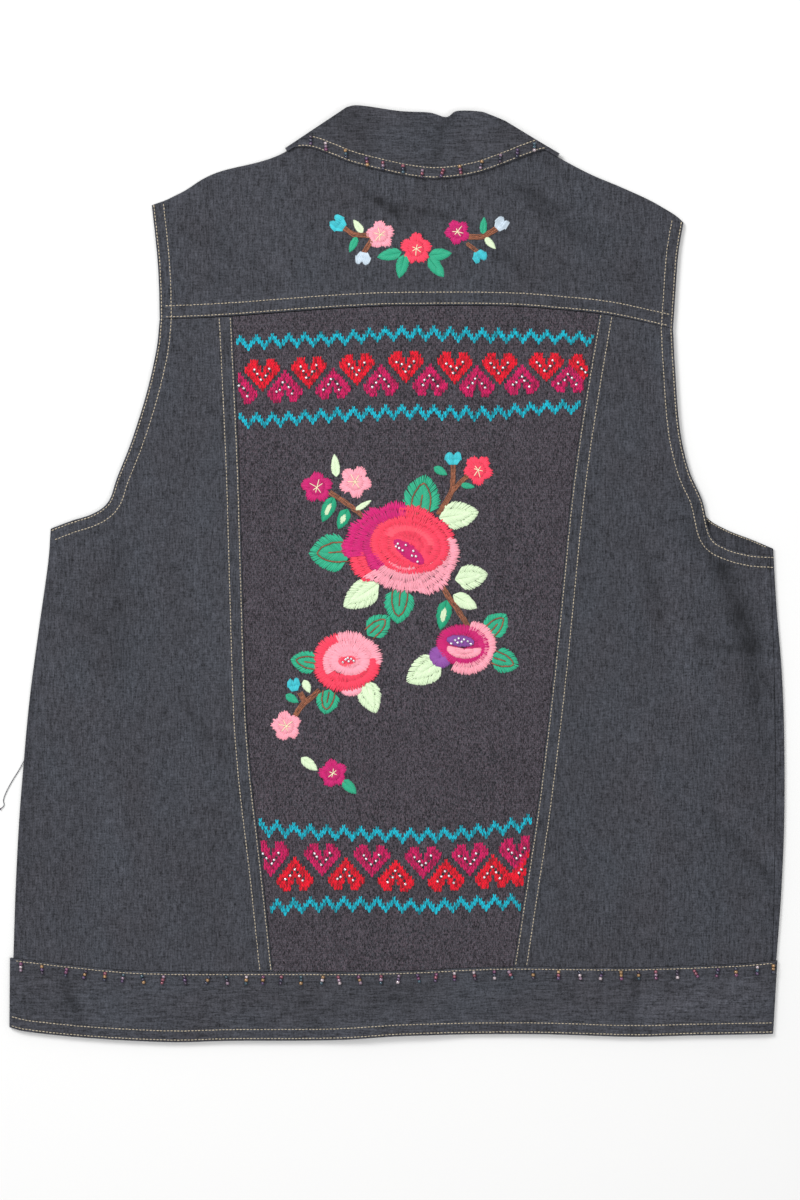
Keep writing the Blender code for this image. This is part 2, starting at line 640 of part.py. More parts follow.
def front_right():
    """Right front, lowest at the middle. It turns over the side fold to the back's side seam on top."""
    half = SEAM_GAP / 2
    lap_line = shifted(centre_front, -FRONT_LAP / 2, 0)
    bottom = cut(band_seam, 0, lap_line[0, 0], 285)[::-1]
    side = cut(right_side, 1, bottom[0, 1], 19)
    neck = smooth_path(FRONT_NECK_RIGHT)[::-1]
    top = Edge(right_shoulder[::-1], neck, ends=(SHOULDER_SHARE, 1.0))
    edge = np.vstack([bottom[-1], neck[-1]])
    outline = Edge(side, front_right_armhole, ends=(FRONT_UNDERARM_SHARE, 1.0))
    panel = Panel(outline, Edge(edge), Edge(bottom), top)
    shape = dict(right=(1.5, 0), bottom=(half,), columns=FRONT_COLUMNS, rows=FRONT_ROWS)

    def laid_out(radius, folded_top):
        """The lower half of the side fold has lines at its widest, halfway down, and level."""
        turns = np.array((1, HALFWAY, 0))
        folded = FOLD_OUTSIDE - radius * turns
        left = edge_depths(folded, FOLD_OUTSIDE * (1 - turns), FRONT_UNDERARM_SHARE)
        return panel.grid(left=left, top=neck_depths(folded_top), **shape)

    plan, u, v = laid_out(FOLD_OUTSIDE, OUTER_DEPTHS)
    inner_plan, _, _ = laid_out(FOLD_INSIDE, INNER_DEPTHS)
    outer = with_height(plan, front_heights(plan, False))
    inner = with_height(inner_plan, front_heights(inner_plan, False) + WALL)
    at_side = v[0] <= FRONT_UNDERARM_SHARE + SAME_SHARE
    for line, rise in enumerate((0, HALFWAY, 1)):
        outer[line, at_side, 2] = middle_height(plan[line, at_side]) - rise * FOLD_OUTSIDE
        inner[line, at_side, 2] = middle_height(inner_plan[line, at_side]) - rise * FOLD_INSIDE
    fold_shoulder(u, plan, outer, OUTER_RISES)
    fold_shoulder(u, inner_plan, inner, INNER_RISES)
    # The turn over the fold: the side seam on top, level cloth, halfway up the fold
    over = []
    for radius, grid in ((FOLD_OUTSIDE, outer), (FOLD_INSIDE, inner)):
        widest = grid[0].copy()
        level = widest.copy()
        turned = widest.copy()
        level[:, 0] = widest[:, 0] - radius
        turned[:, 0] = widest[:, 0] - (1 - HALFWAY) * radius
        turned[:, 2] = widest[:, 2] + HALFWAY * radius
        level[:, 2] = widest[:, 2] + radius
        seam = level.copy()
        seam_x = np.interp(seam[:, 1], right_seam_line[:, 1], right_seam_line[:, 0])
        seam[:, 0] = np.minimum(seam_x + half, level[:, 0] - 0.2)
        over.append(np.stack([seam, level, turned]))
    outer = np.concatenate([over[0], outer])
    inner = np.concatenate([over[1], inner])
    keep = np.ones((outer.shape[0] - 1, outer.shape[1] - 1), bool)
    corner = int(np.nonzero(at_side)[0].max())
    keep[:3, corner:] = False
    return mesh_object("front_right", outer, inner, keep)


def waistband():
    """Doubled band round the whole waist, lapped at the middle front."""
    half = SEAM_GAP / 2
    low_rows = np.array(BAND_LOW_ROWS)
    high_shares = np.array(BAND_HIGH_SHARES)
    middle_x = CENTRE_FRONT_FOOT[0]
    lap_half = FRONT_LAP / 2
    angles = np.radians((-90, -45, 0, 45, 90))
    under_right = np.linspace(0.0, 0.97, BAND_UNDER_SECTIONS)
    over_back = np.linspace(0.03, 0.97, BAND_OVER_SECTIONS)
    sections = []
    # Each section: where it lies, its share across from left to right, and its angle round a side fold
    for share in under_right:
        sections.append(("under_right", share, 0))
    for angle in angles:
        sections.append(("right", 1, angle))
    for share in over_back[::-1]:
        sections.append(("over", share, 0))
    for angle in angles[::-1]:
        sections.append(("left", 0, angle))
    for share in under_right[::-1]:
        sections.append(("under_left", share, 0))
    rows = len(low_rows) + len(high_shares)
    outer = np.zeros((len(sections), rows, 3))
    inner = np.zeros((len(sections), rows, 3))
    for number, (where, share, angle) in enumerate(sections):
        for radius, grid in ((BAND_OUTSIDE, outer), (FOLD_INSIDE, inner)):
            ends = []
            for left_x, right_x in ((BAND_LEFT[0], BAND_RIGHT[0]), (BAND_LEFT[1], BAND_RIGHT[1])):
                left_fold = left_x + BAND_OUTSIDE
                right_fold = right_x - BAND_OUTSIDE
                x = {
                    "under_right": middle_x - lap_half + (right_fold - middle_x + lap_half) * share,
                    "right": right_fold + radius * np.cos(angle),
                    "over": left_fold + (right_fold - left_fold) * share,
                    "left": left_fold - radius * np.cos(angle),
                    "under_left": middle_x + lap_half + (left_fold - middle_x - lap_half) * share,
                }[where]
                ends.append(x)
            top_y = np.interp(ends[0], band_seam[:, 0], band_seam[:, 1]) - half
            low_y = np.interp(ends[1], hem[:, 0], hem[:, 1])
            height = top_y - low_y
            down = np.concatenate([low_y + low_rows, low_y + height * high_shares])
            across = ends[1] + (ends[0] - ends[1]) * (down - low_y) / height
            points = np.stack([across, down], axis=-1)
            lift = front_lap_lift(points)
            if where == "under_right":
                z = np.full(rows, BAND_MIDDLE - radius)
            elif where == "under_left":
                z = BAND_MIDDLE - radius + lift
            elif where == "over":
                z = BAND_MIDDLE + radius + lift + wave(points)
                if radius == BAND_OUTSIDE:
                    z += np.where(down - low_y <= LAP_WIDTH + SAME_SHARE, HEM_RAISE, 0)
            else:
                z = np.full(rows, BAND_MIDDLE + radius * np.sin(angle))
            grid[number] = with_height(points, z)
    over = slice(len(under_right) + len(angles), len(under_right) + len(angles) + len(over_back))
    outer[over, 0, 2] -= FREE_DROPS[0]
    outer[over, 1, 2] -= FREE_DROPS[2]
    return mesh_object("waistband", outer, inner)


def collar_grid(lines, counts, radius, across, raised=0.0, slide=False):
    """One surface of a collar piece, from the left front, round the neck, to the right front.

    lines holds the paths along the roll and along the far edge, for the left front, the back and the right
    front. radius is the surface's distance from the middle height. With slide, the far edge runs on along its
    own line to where it turns over the fold.
    """
    sections = []
    for number, (roll, far) in enumerate(lines):
        share = np.linspace(0, 1, counts[number])
        starts = along(roll, share)
        ends = along(far, share)
        if number == 1:
            turns = []
            for end, normal in ((0, LEFT_FOLD_NORMAL), (-1, RIGHT_FOLD_NORMAL)):
                inward = -LEAF_OUTSIDE * np.array(normal)
                direction = ends[1] - ends[0] if end == 0 else ends[-2] - ends[-1]
                slid = direction * LEAF_OUTSIDE**2 / (direction * inward).sum()
                starts[end] += inward
                ends[end] += slid if slide else inward
                line = starts[end] + (ends[end] - starts[end]) * across[:, None]
                turn = []
                for angle in np.radians(TURN_ANGLES):
                    place = line + radius * np.cos(angle) * np.array(normal)
                    turn.append(with_height(place, LEAF_MIDDLE + radius * np.sin(angle)))
                turns.append(turn)
            points = starts[:, None] + (ends - starts)[:, None] * across[None, :, None]
            height = middle_height(points) + wave(points) + radius + raised
            sections += turns[0] + list(with_height(points, height)) + turns[1][::-1]
        else:
            level = starts[:, None] + (ends - starts)[:, None] * across[None, :, None]
            level = with_height(level, LEAF_MIDDLE - radius)
            sections += list(level[:-1] if number == 0 else level[1:])
    return np.array(sections)


def collar_leaf():
    """The fall of the collar: over the yoke at the back, under the fronts at the front."""
    across = np.array(LEAF_ROWS + (LEAF_WIDTH - COLLAR_LAP_WIDTH, LEAF_WIDTH - LEAF_END, LEAF_WIDTH))
    raised = np.where(across >= LEAF_WIDTH - COLLAR_LAP_WIDTH, COLLAR_LAP_RAISE, 0)
    for row, drop in zip((0, 1, -1), LEAF_DROPS):
        raised[row] -= drop
    lines = (
        (smooth_path(LEFT_FRONT_ROLL), smooth_path(LEFT_FRONT_EDGE)),
        (smooth_path(ROLL_LINE), smooth_path(COLLAR_EDGE)),
        (smooth_path(RIGHT_FRONT_ROLL), smooth_path(RIGHT_FRONT_EDGE)),
    )
    outer = collar_grid(lines, LEAF_SECTIONS, LEAF_OUTSIDE, across / LEAF_WIDTH, raised)
    inner = collar_grid(lines, LEAF_SECTIONS, LEAF_INSIDE, across / LEAF_WIDTH)
    return mesh_object("collar_leaf", outer, inner)


def collar_stand():
    """The stand of the collar, from the neck seam up to the roll, at the level of the yoke and the fronts."""
    left_neck = cut(smooth_path(FRONT_NECK_LEFT), 1, 262, 330)
    right_neck = cut(smooth_path(FRONT_NECK_RIGHT), 1, 262, 322)[::-1]
    neck = shifted(neck_seam, 0, SEAM_GAP / 2)
    for end, inner_point in ((0, 1), (-1, -2)):
        outward = neck[end] - neck[inner_point]
        neck[end] += outward / np.hypot(*outward) * NECK_RUN_ON
    lines = (
        (smooth_path(LEFT_FRONT_ROLL), left_neck),
        (smooth_path(ROLL_LINE), neck),
        (smooth_path(RIGHT_FRONT_ROLL), right_neck),
    )
    lines = [(roll + (far.mean(axis=0) - roll.mean(axis=0)) * ROLL_INSET, far) for roll, far in lines]
    across = np.linspace(0, 1, 5)
    outer = collar_grid(lines, STAND_SECTIONS, FOLD_OUTSIDE, across, slide=True)
    inner = collar_grid(lines, STAND_SECTIONS, FOLD_INSIDE, across, slide=True)
    return mesh_object("collar_stand", outer, inner)


def cloth_material(name, colour, roughness):
    material = bpy.data.materials.new(name)
    material.use_nodes = True
    shader = material.node_tree.nodes["Principled BSDF"]
    shader.inputs["Base Color"].default_value = (*colour, 1)
    shader.inputs["Roughness"].default_value = roughness
    shader.inputs["Metallic"].default_value = 0
    return material


def main():
    for old in list(bpy.data.objects):
        bpy.data.objects.remove(old)
    vest = bpy.data.collections.new("embroidered_vest")
    bpy.context.scene.collection.children.link(vest)
    pieces = [
        (back_yoke, DENIM, 0.9),
        (back_centre_panel, KNIT, 0.95),
        (back_side_left, DENIM, 0.9),
        (back_side_right, DENIM, 0.9),
        (front_left, DENIM, 0.9),
        (front_right, DENIM, 0.9),
        (waistband, DENIM, 0.9),
        (collar_leaf, DENIM, 0.9),
        (collar_stand, DENIM, 0.9),
    ]
    for build, colour, roughness in pieces:
        piece = build()
        piece.data.materials.append(cloth_material(piece.name + "_cloth", colour, roughness))
        vest.objects.link(piece)


main()
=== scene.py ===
"""The look of a sleeveless embroidered denim vest, laid flat with its back up.

All sizes are in millimetres unless a name says otherwise. +X is the wearer's right, +Y points to the collar
and +Z up.
"""

import math

import bpy
import numpy as np
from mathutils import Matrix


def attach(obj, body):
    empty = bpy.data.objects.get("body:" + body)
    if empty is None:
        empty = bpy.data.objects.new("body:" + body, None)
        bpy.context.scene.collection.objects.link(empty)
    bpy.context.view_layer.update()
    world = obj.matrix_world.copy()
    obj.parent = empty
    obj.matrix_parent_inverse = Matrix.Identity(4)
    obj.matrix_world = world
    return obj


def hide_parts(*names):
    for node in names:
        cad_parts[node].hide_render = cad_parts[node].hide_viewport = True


bl_info = {
    "name": "Embroidered vest",
    "version": (1, 0, 0),
    "blender": (4, 5, 0),
    "location": "View3D > Sidebar > Vest",
    "description": "Makes a denim vest with a knit back, its stitching, embroidery and beads",
    "category": "Object",
}

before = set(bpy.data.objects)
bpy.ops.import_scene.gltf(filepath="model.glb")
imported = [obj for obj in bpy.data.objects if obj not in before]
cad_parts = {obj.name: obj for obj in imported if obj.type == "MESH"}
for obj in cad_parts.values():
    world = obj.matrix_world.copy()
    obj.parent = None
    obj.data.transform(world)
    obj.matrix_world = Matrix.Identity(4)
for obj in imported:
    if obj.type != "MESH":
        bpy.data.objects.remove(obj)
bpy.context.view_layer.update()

MM = 0.001

# Cloth
WALL = 1.2
LEAF_WALL = 1.6
BAND_WALL = 1.6
LAYER_GAP = 0.6
SEAM_GAP = 0.3
NECK_GAP = 1.2
LAP_WIDTH = 12.0
LAP_SLOPE = 1.5
LAP_RAISE = 0.7
COLLAR_LAP_RAISE = 0.4
HEM_RAISE = 0.4

# Stack at a folded side: front, gap, back, about one middle height
FOLD_MIDDLE = WALL + LAYER_GAP / 2
FOLD_INSIDE = LAYER_GAP / 2
FOLD_OUTSIDE = FOLD_INSIDE + WALL
LEAF_REST = 0.5
LEAF_INSIDE = FOLD_OUTSIDE + LEAF_REST
LEAF_OUTSIDE = LEAF_INSIDE + LEAF_WALL
LEAF_LIFT = LEAF_WALL + LEAF_REST
LEAF_MIDDLE = LEAF_LIFT + FOLD_MIDDLE
BAND_MIDDLE = BAND_WALL + LAYER_GAP / 2
BAND_OUTSIDE = FOLD_INSIDE + BAND_WALL

# The fronts lap at the middle by this much, wearer's right front underneath
FRONT_LAP = 27.0
FRONT_LAP_LIFT = BAND_WALL + LEAF_REST
LIFT_RUN = 60.0
LAP_RUN = 45.0
REST_MARGIN = 4.0
NECK_DIP_TOP = 330.0
NECK_DIP_RUN = 66.0

# Sagging and rumpling of the back over the fronts
WAVE_BASE = 1.0
WAVE_EDGE = 30.0
WAVE_HEIGHT = 0.22
RUMPLE_HEIGHT = 0.07
COLLAR_WAVE_HEIGHT = 0.12
FOLDS = (
    # start x, start y, end x, end y, half width, height
    (-209, 15, -210, -70, 15, -0.7),
    (-160, -92, -134, -132, 12, 0.6),
    (220, 25, 258, -80, 18, -0.7),
    (197, -147, 222, -125, 12, 0.6),
    (190, -50, 268, -58, 8, 0.7),
    (232, -178, 275, -225, 10, 0.6),
    (94, 284, 160, 248, 9, 0.6),
    (73, 241, 136, 208, 9, 0.6),
    (-27, 289, 12, 271, 9, 0.6),
    (-60, 40, 70, 20, 30, 0.5),
    (-40, -130, 60, -150, 28, 0.5),
    (-240, -180, -180, -210, 22, 0.5),
    (-90, 240, 40, 262, 18, 0.5),
)

# Outline as it lies, in points along each edge
LEFT_SIDE = (
    (-288.1, -291.5), (-286.5, -240), (-284, -190), (-281, -150), (-276, -95), (-269, -42), (-262, 8),
    (-260, 34),
)
RIGHT_SIDE = (
    (284.7, -291.5), (288.5, -240), (290.8, -185), (290.8, -125), (289, -75), (285, -25), (282.5, 19),
)
RIGHT_SEAM_LINE = ((281.9, -291.5), (283.5, -220), (284, -150), (283.5, -90), (282, -35), (280, 14))
LEFT_ARMHOLE = (
    (-260, 34), (-244, 40), (-231, 44), (-221, 49.5), (-215, 57), (-210, 72), (-199, 100),
    (-188, 135), (-180.5, 168), (-178, 191),
)
LEFT_ARMHOLE_TOP = ((-178, 191), (-178.5, 215), (-180, 240), (-184, 277))
RIGHT_ARMHOLE = (
    (280, 14), (265, 15), (247, 20), (235.5, 29), (229, 55), (219, 78), (212, 110), (208.5, 155),
    (207, 184),
)
RIGHT_ARMHOLE_TOP = ((207, 184), (208.5, 206), (211, 240), (215, 264))
FRONT_LEFT_ARMHOLE = (
    (-260, 34), (-240, 35), (-219, 44), (-206, 64), (-191, 100), (-180, 135), (-173, 175),
    (-173, 225), (-184, 277),
)
FRONT_RIGHT_ARMHOLE = (
    (282.5, 19), (266, 26), (248, 33), (233, 42), (222, 58), (210, 85), (203, 125), (200, 170),
    (203, 215), (215, 264),
)
LEFT_SHOULDER = (
    (-184, 277), (-173, 281), (-159, 288), (-145, 297), (-130, 303), (-102, 309.5), (-84, 316.5),
    (-63, 330),
)
RIGHT_SHOULDER = (
    (106, 322), (122, 312), (145, 300), (168, 290.5), (190, 280.5), (208, 270), (215, 264),
)
LEFT_FOLD_NORMAL = (-0.555, 0.832)
RIGHT_FOLD_NORMAL = (0.506, 0.862)
ROLL_INSET = 0.02
NECK_RUN_ON = 2.7
LEAF_WIDTH = 54.0
NECK_SEAM = ((-63, 330), (-42, 323), (-14, 317), (22, 315), (58, 316), (84, 318), (106, 322))
FRONT_NECK_LEFT = ((-63, 330), (-54, 304), (-32, 278), (-5, 263), (33, 256))
FRONT_NECK_RIGHT = ((6, 256), (45, 262), (72, 277), (94, 300), (106, 322))
YOKE_SEAM = (
    (-178, 191), (-133, 193), (-85, 196.5), (-40, 199.5), (2, 201), (79, 201), (125, 198),
    (161, 194), (207, 184),
)
LEFT_PANEL_SEAM = (
    (-93, -298), (-101, -222), (-107, -172), (-110, -142), (-113, -98), (-116, 1), (-118.5, 85),
    (-123.5, 193),
)
RIGHT_PANEL_SEAM = (
    (87, -296), (96.5, -233), (105.5, -173), (115, -95), (122, -27), (128.5, 40), (135, 93),
    (143.5, 148), (151.5, 195),
)
BAND_SEAM = (
    (-290, -288), (-250, -292.5), (-206, -297), (-163, -298.5), (-93, -298.5), (-49, -298.5),
    (2, -297.5), (50, -295.5), (87, -294.5), (175, -295), (251, -292.5), (285, -290),
)
HEM = (
    (-291, -340), (-275, -343.5), (-230, -348), (-170, -351), (-125, -350), (-50, -349.5),
    (10, -346), (100, -345), (175, -347), (220, -346), (282, -345),
)
BAND_LEFT = (-290.6, -291)
BAND_RIGHT = (285.6, 282.4)
ROLL_LINE = (
    (-39, 349.5), (-28, 351), (2, 347), (24, 346), (37, 342.5), (45, 347), (62, 346.5), (70, 344),
    (82, 339),
)
COLLAR_EDGE = (
    (-84, 319.5), (-65, 319.5), (-49.5, 314), (-34, 308), (-11, 302), (8, 298), (27, 296),
    (47, 297.5), (63, 301), (80, 307), (98, 314), (111, 318), (122, 315.5),
)
LEFT_FRONT_ROLL = ((22, 262), (0, 285), (-24, 315), (-39, 349.5))
LEFT_FRONT_EDGE = ((-38, 224), (-56, 252), (-72, 287), (-84, 319.5))
RIGHT_FRONT_ROLL = ((82, 339), (68, 308), (46, 281), (25, 262))
RIGHT_FRONT_EDGE = ((122, 315.5), (112, 283), (98, 251), (82, 224))
CENTRE_FRONT_TOP = (20, 256)
CENTRE_FRONT_FOOT = (-1.5, -298)
UNDERARM_SHARE = 0.53
FRONT_UNDERARM_SHARE = 0.38
SHOULDER_SHARE = 0.5
# Edges that bend by more degrees than this stay sharp
SHARP_ANGLE = 48
# Shares this close are the same
SAME_SHARE = 1e-6


def smooth_path(points, steps=10):
    """A smooth curve through the points, as many short lines."""
    knots = np.array(points, float)
    ends = np.vstack([2 * knots[0] - knots[1], knots, 2 * knots[-1] - knots[-2]])
    found = []
    for before, here, there, after in zip(ends, ends[1:], ends[2:], ends[3:]):
        for step in range(steps):
            t = step / steps
            found.append(
                here
                + (there - before) * t / 2
                + (2 * before - 5 * here + 4 * there - after) * t**2 / 2
                + (3 * here - before - 3 * there + after) * t**3 / 2
            )
    found.append(knots[-1])
    return np.array(found)


def along(path, share):
    """Points at these shares of the path's length."""
    steps = np.hypot(*np.diff(path, axis=0).T)
    run = np.concatenate([[0], np.cumsum(steps)]) / steps.sum()
    return np.stack([np.interp(share, run, path[:, k]) for k in (0, 1)], axis=-1)


def distance(points, path):
    """Plan distance of each point from the path."""
    start = path[:-1]
    step = path[1:] - start
    from_start = points[..., None, :] - start
    t = np.clip((from_start * step).sum(-1) / np.maximum((step * step).sum(-1), 1e-9), 0, 1)
    return np.hypot(*np.moveaxis(from_start - t[..., None] * step, -1, 0)).min(-1)


def ease(x):
    """0 below 0, 1 above 1, smooth between."""
    x = np.clip(x, 0, 1)
    return x * x * (3 - 2 * x)


class Edge:
    """One side of a panel: paths end to end, each with the share of the side that it ends at."""

    def __init__(self, *paths, ends=(1.0,)):
        self.paths = [np.array(path) for path in paths]
        self.ends = ends
        self.path = np.vstack(self.paths)

    def point(self, share):
        share = np.asarray(share, float)
        found = np.zeros(share.shape + (2,))
        start = 0.0
        for path, end in zip(self.paths, self.ends):
            here = (share >= start) & (share <= end)
            found[here] = along(path, (share[here] - start) / (end - start))
            start = end
        return found


class Panel:
    """A cloth panel in plan, spanned between its four sides."""

    def __init__(self, left, right, bottom, top):
        self.left = left
        self.right = right
        self.bottom = bottom
        self.top = top
        self.corners = [bottom.point(0), bottom.point(1), top.point(0), top.point(1)]

    def point(self, u, v):
        a, b, c, d = self.corners
        u_ = u[..., None]
        v_ = v[..., None]
        flat = (1 - u_) * (1 - v_) * a + u_ * (1 - v_) * b + (1 - u_) * v_ * c + u_ * v_ * d
        across = (1 - u_) * self.left.point(v) + u_ * self.right.point(v)
        upward = (1 - v_) * self.bottom.point(u) + v_ * self.top.point(u)
        return across + upward - flat

    def grid(self, left, right, bottom, top, columns, rows, spread=False):
        """Plan points of a grid whose outer lines lie at these depths from the sides, and whose middle lines
        are at these shares. A depth is a number, or a function of the share along the side. With spread, the
        columns are shares of what the outer lines leave."""
        u_count = len(left) + len(columns) + len(right)
        v_count = len(bottom) + len(rows) + len(top)
        first = np.concatenate([np.full(len(left), 0.02), columns, np.full(len(right), 0.98)])
        second = np.concatenate([np.full(len(bottom), 0.02), rows, np.full(len(top), 0.98)])
        u, v = np.meshgrid(first, second, indexing="ij")
        for _ in range(5):
            for k, depth in enumerate(left):
                u[k] = self.at_depth(self.left, depth, v[k], lambda t, k=k: self.point(t, v[k]))
            for k, depth in enumerate(right):
                line = u_count - len(right) + k
                u[line] = 1 - self.at_depth(
                    self.right, depth, v[line], lambda t, k=line: self.point(1 - t, v[k])
                )
            if spread:
                middle = slice(len(left), u_count - len(right))
                start = u[len(left) - 1]
                u[middle] = start + (u[u_count - len(right)] - start) * np.array(columns)[:, None]
            for k, depth in enumerate(bottom):
                v[:, k] = self.at_depth(self.bottom, depth, u[:, k], lambda t, k=k: self.point(u[:, k], t))
            for k, depth in enumerate(top):
                line = v_count - len(top) + k
                v[:, line] = 1 - self.at_depth(
                    self.top, depth, u[:, line], lambda t, k=line: self.point(u[:, k], 1 - t)
                )
        return self.point(u, v), u, v

    @staticmethod
    def at_depth(side, depth, share, place):
        """How far in, as a share, the grid line reaches this depth from the side."""
        wanted = depth(share) if callable(depth) else np.full(share.shape, float(depth))
        low = np.zeros(share.shape)
        high = np.full(share.shape, 0.45)
        for _ in range(22):
            middle = (low + high) / 2
            near = distance(place(middle), side.path) < wanted
            low = np.where(near, middle, low)
            high = np.where(near, high, middle)
        return np.where(wanted <= 0, 0, (low + high) / 2)


def shifted(path, dx, dy):
    return np.array(path) + (dx, dy)


def cut(path, axis, low, high):
    """The stretch of a path whose x (axis 0) or y (axis 1) lies between low and high, ends included."""
    order = path if path[0, axis] < path[-1, axis] else path[::-1]
    values = order[:, axis]
    inner = order[(values > low) & (values < high)]
    ends = [[np.interp(limit, values, order[:, k]) for k in (0, 1)] for limit in (low, high)]
    return np.vstack([ends[0], inner, ends[1]])


left_side = smooth_path(LEFT_SIDE)
right_side = smooth_path(RIGHT_SIDE)
right_seam_line = smooth_path(RIGHT_SEAM_LINE)
left_armhole = smooth_path(LEFT_ARMHOLE)
right_armhole = smooth_path(RIGHT_ARMHOLE)
left_armhole_top = smooth_path(LEFT_ARMHOLE_TOP)
right_armhole_top = smooth_path(RIGHT_ARMHOLE_TOP)
front_left_armhole = smooth_path(FRONT_LEFT_ARMHOLE)
front_right_armhole = smooth_path(FRONT_RIGHT_ARMHOLE)
left_shoulder = smooth_path(LEFT_SHOULDER)
right_shoulder = smooth_path(RIGHT_SHOULDER)
neck_seam = smooth_path(NECK_SEAM)
yoke_seam = smooth_path(YOKE_SEAM)
left_panel_seam = smooth_path(LEFT_PANEL_SEAM)
right_panel_seam = smooth_path(RIGHT_PANEL_SEAM)
band_seam = smooth_path(BAND_SEAM)
hem = smooth_path(HEM)
centre_front = np.array((CENTRE_FRONT_FOOT, CENTRE_FRONT_TOP), float)
leaf_outlines = [
    np.vstack([smooth_path(roll), smooth_path(edge)[::-1], smooth_path(roll)[:1]])
    for roll, edge in ((LEFT_FRONT_ROLL, LEFT_FRONT_EDGE), (RIGHT_FRONT_ROLL[::-1], RIGHT_FRONT_EDGE[::-1]))
]
folded_sides = [left_side, right_side, left_shoulder, right_shoulder, neck_seam]


def inside(points, outline):
    """Whether each point lies inside the closed outline."""
    x = points[..., 0, None]
    y = points[..., 1, None]
    x1, y1 = outline[:-1].T
    x2, y2 = outline[1:].T
    rise = np.where(y1 == y2, 1, y2 - y1)
    crossed = ((y1 > y) != (y2 > y)) & (x < (x2 - x1) * (y - y1) / rise + x1)
    return crossed.sum(-1) % 2 == 1


def leaf_lift(points):
    """How far the front halves of the collar hold the cloth above them off the surface."""
    found = np.zeros(points.shape[:-1])
    for outline in leaf_outlines:
        away = np.where(inside(points, outline), 0, distance(points, outline))
        found = np.maximum(found, LEAF_LIFT * (1 - ease((away - REST_MARGIN) / LIFT_RUN)))
    return found


def front_lap_lift(points):
    """How far the lapped front edges hold the cloth above them up."""
    (x0, y0), (x1, y1) = centre_front
    from_line = points[..., 0] - (x0 + (x1 - x0) * (points[..., 1] - y0) / (y1 - y0))
    away = np.abs(from_line) - FRONT_LAP / 2 - REST_MARGIN
    return FRONT_LAP_LIFT * (1 - ease(away / LAP_RUN)) * ease((NECK_DIP_TOP - points[..., 1]) / NECK_DIP_RUN)


def middle_height(points):
    """Height halfway between front and back."""
    return FOLD_MIDDLE + leaf_lift(points) + front_lap_lift(points)


def wave(points):
    """Extra height of the back over the fronts: a soft rise with a few folds, none at the folded sides."""
    away = np.min([distance(points, side) for side in folded_sides], axis=0)
    found = np.full(points.shape[:-1], WAVE_BASE)
    x, y = points[..., 0], points[..., 1]
    found += WAVE_HEIGHT * np.sin(x / 47 + y / 90 + 0.6) * np.cos(y / 61 - x / 130)
    for x0, y0, x1, y1, width, height in FOLDS:
        near = distance(points, np.array(((x0, y0), (x1, y1)), float)) / width
        found += height * np.exp(-near * near)
    return found * ease((away - 2) / WAVE_EDGE)


def with_height(points, height):
    height = np.broadcast_to(height, points.shape[:-1])
    return np.concatenate([points, height[..., None]], axis=-1)


def lap(depth, width=LAP_WIDTH, raised=LAP_RAISE):
    """Extra thickness of a turned and topstitched edge at this depth from it."""
    return raised * np.clip((width + LAP_SLOPE - depth) / LAP_SLOPE, 0, 1)


# A folded side, from its end at middle height up to the level cloth: the plan depth and height of each line
FOLD_ANGLES = (0, 30, 60, 90)
OUTER_DEPTHS = [FOLD_OUTSIDE * (1 - np.cos(np.radians(a))) for a in FOLD_ANGLES]
INNER_DEPTHS = [FOLD_OUTSIDE - FOLD_INSIDE * np.cos(np.radians(a)) for a in FOLD_ANGLES]
OUTER_RISES = [max(SEAM_GAP / 2, FOLD_OUTSIDE * np.sin(np.radians(a))) for a in FOLD_ANGLES]
INNER_RISES = [max(SEAM_GAP / 2, FOLD_INSIDE * np.sin(np.radians(a))) for a in FOLD_ANGLES]
FREE_DEPTHS = (0, 0.3, 0.8, 1.5)
FREE_DROPS = (0.45, 0.2, 0.05, 0)
# Narrow creases on top of the folds: troughs are negative
CREASES = (
    (190, -50, 276, -57, 2.6, -0.40),
    (-249, -308, -238, -342, 2.6, 0.76),
    (-73, -316, -59, -342, 2.6, 0.66),
    (179, -303, 176, -346, 2.4, -0.52),
    (205, -300, 199, -322, 3.5, 0.47),
    (93, 284, 161, 248, 3.2, 0.57),
    (96, 277, 150, 246, 3.0, -0.29),
    (73, 241, 136, 208, 3.2, 0.53),
    (-27, 289, 12, 271, 3.4, 0.53),
    (113, 310, 127, 297, 2.8, 0.47),
    (-166, 262, -122, 240, 3.6, 0.47),
    (-150, 226, -96, 214, 4.2, 0.42),
    (235, -181, 280, -229, 3.2, 0.66),
    (243, -179, 284, -221, 3.0, -0.29),
    (197, -147, 222, -124, 3.4, 0.61),
    (222, 8, 254, -78, 3.6, -0.29),
    (-159, -94, -136, -132, 3.6, 0.57),
    (-168, -100, -150, -133, 4.2, -0.23),
    (-209, 8, -210, -64, 3.8, -0.29),
    (-262, -20, -226, -34, 4.4, 0.47),
    (-270, -130, -232, -118, 4.2, 0.42),
    (-196, 62, -160, 48, 3.6, 0.42),
    (-190, 96, -150, 92, 3.8, -0.23),
    (180, 100, 205, 84, 3.6, 0.46),
    (-255, -250, -190, -262, 4.5, 0.38),
    (130, -240, 190, -255, 4.6, 0.38),
    (208, 32, 233, 4, 8, 0.8),
    (233, 4, 246, -32, 8, 0.9),
    (246, -32, 257, -95, 8, 0.8),
    (-28, 284, -10, 270, 5, 0.5),
    (-10, 270, 8, 259, 5, 0.45),
)
# The crease in the collar's fall under the notch in its roll
COLLAR_CREASES = (
    (36.5, 344, 29, 308, 3.0, -0.55),
    (41, 344, 35, 322, 3.6, 0.35),
    (-30, 349, -44, 322, 4.5, 0.3),
    (76, 342, 90, 318, 4.0, 0.3),
    (4, 346, 0, 306, 5.0, 0.2),
)
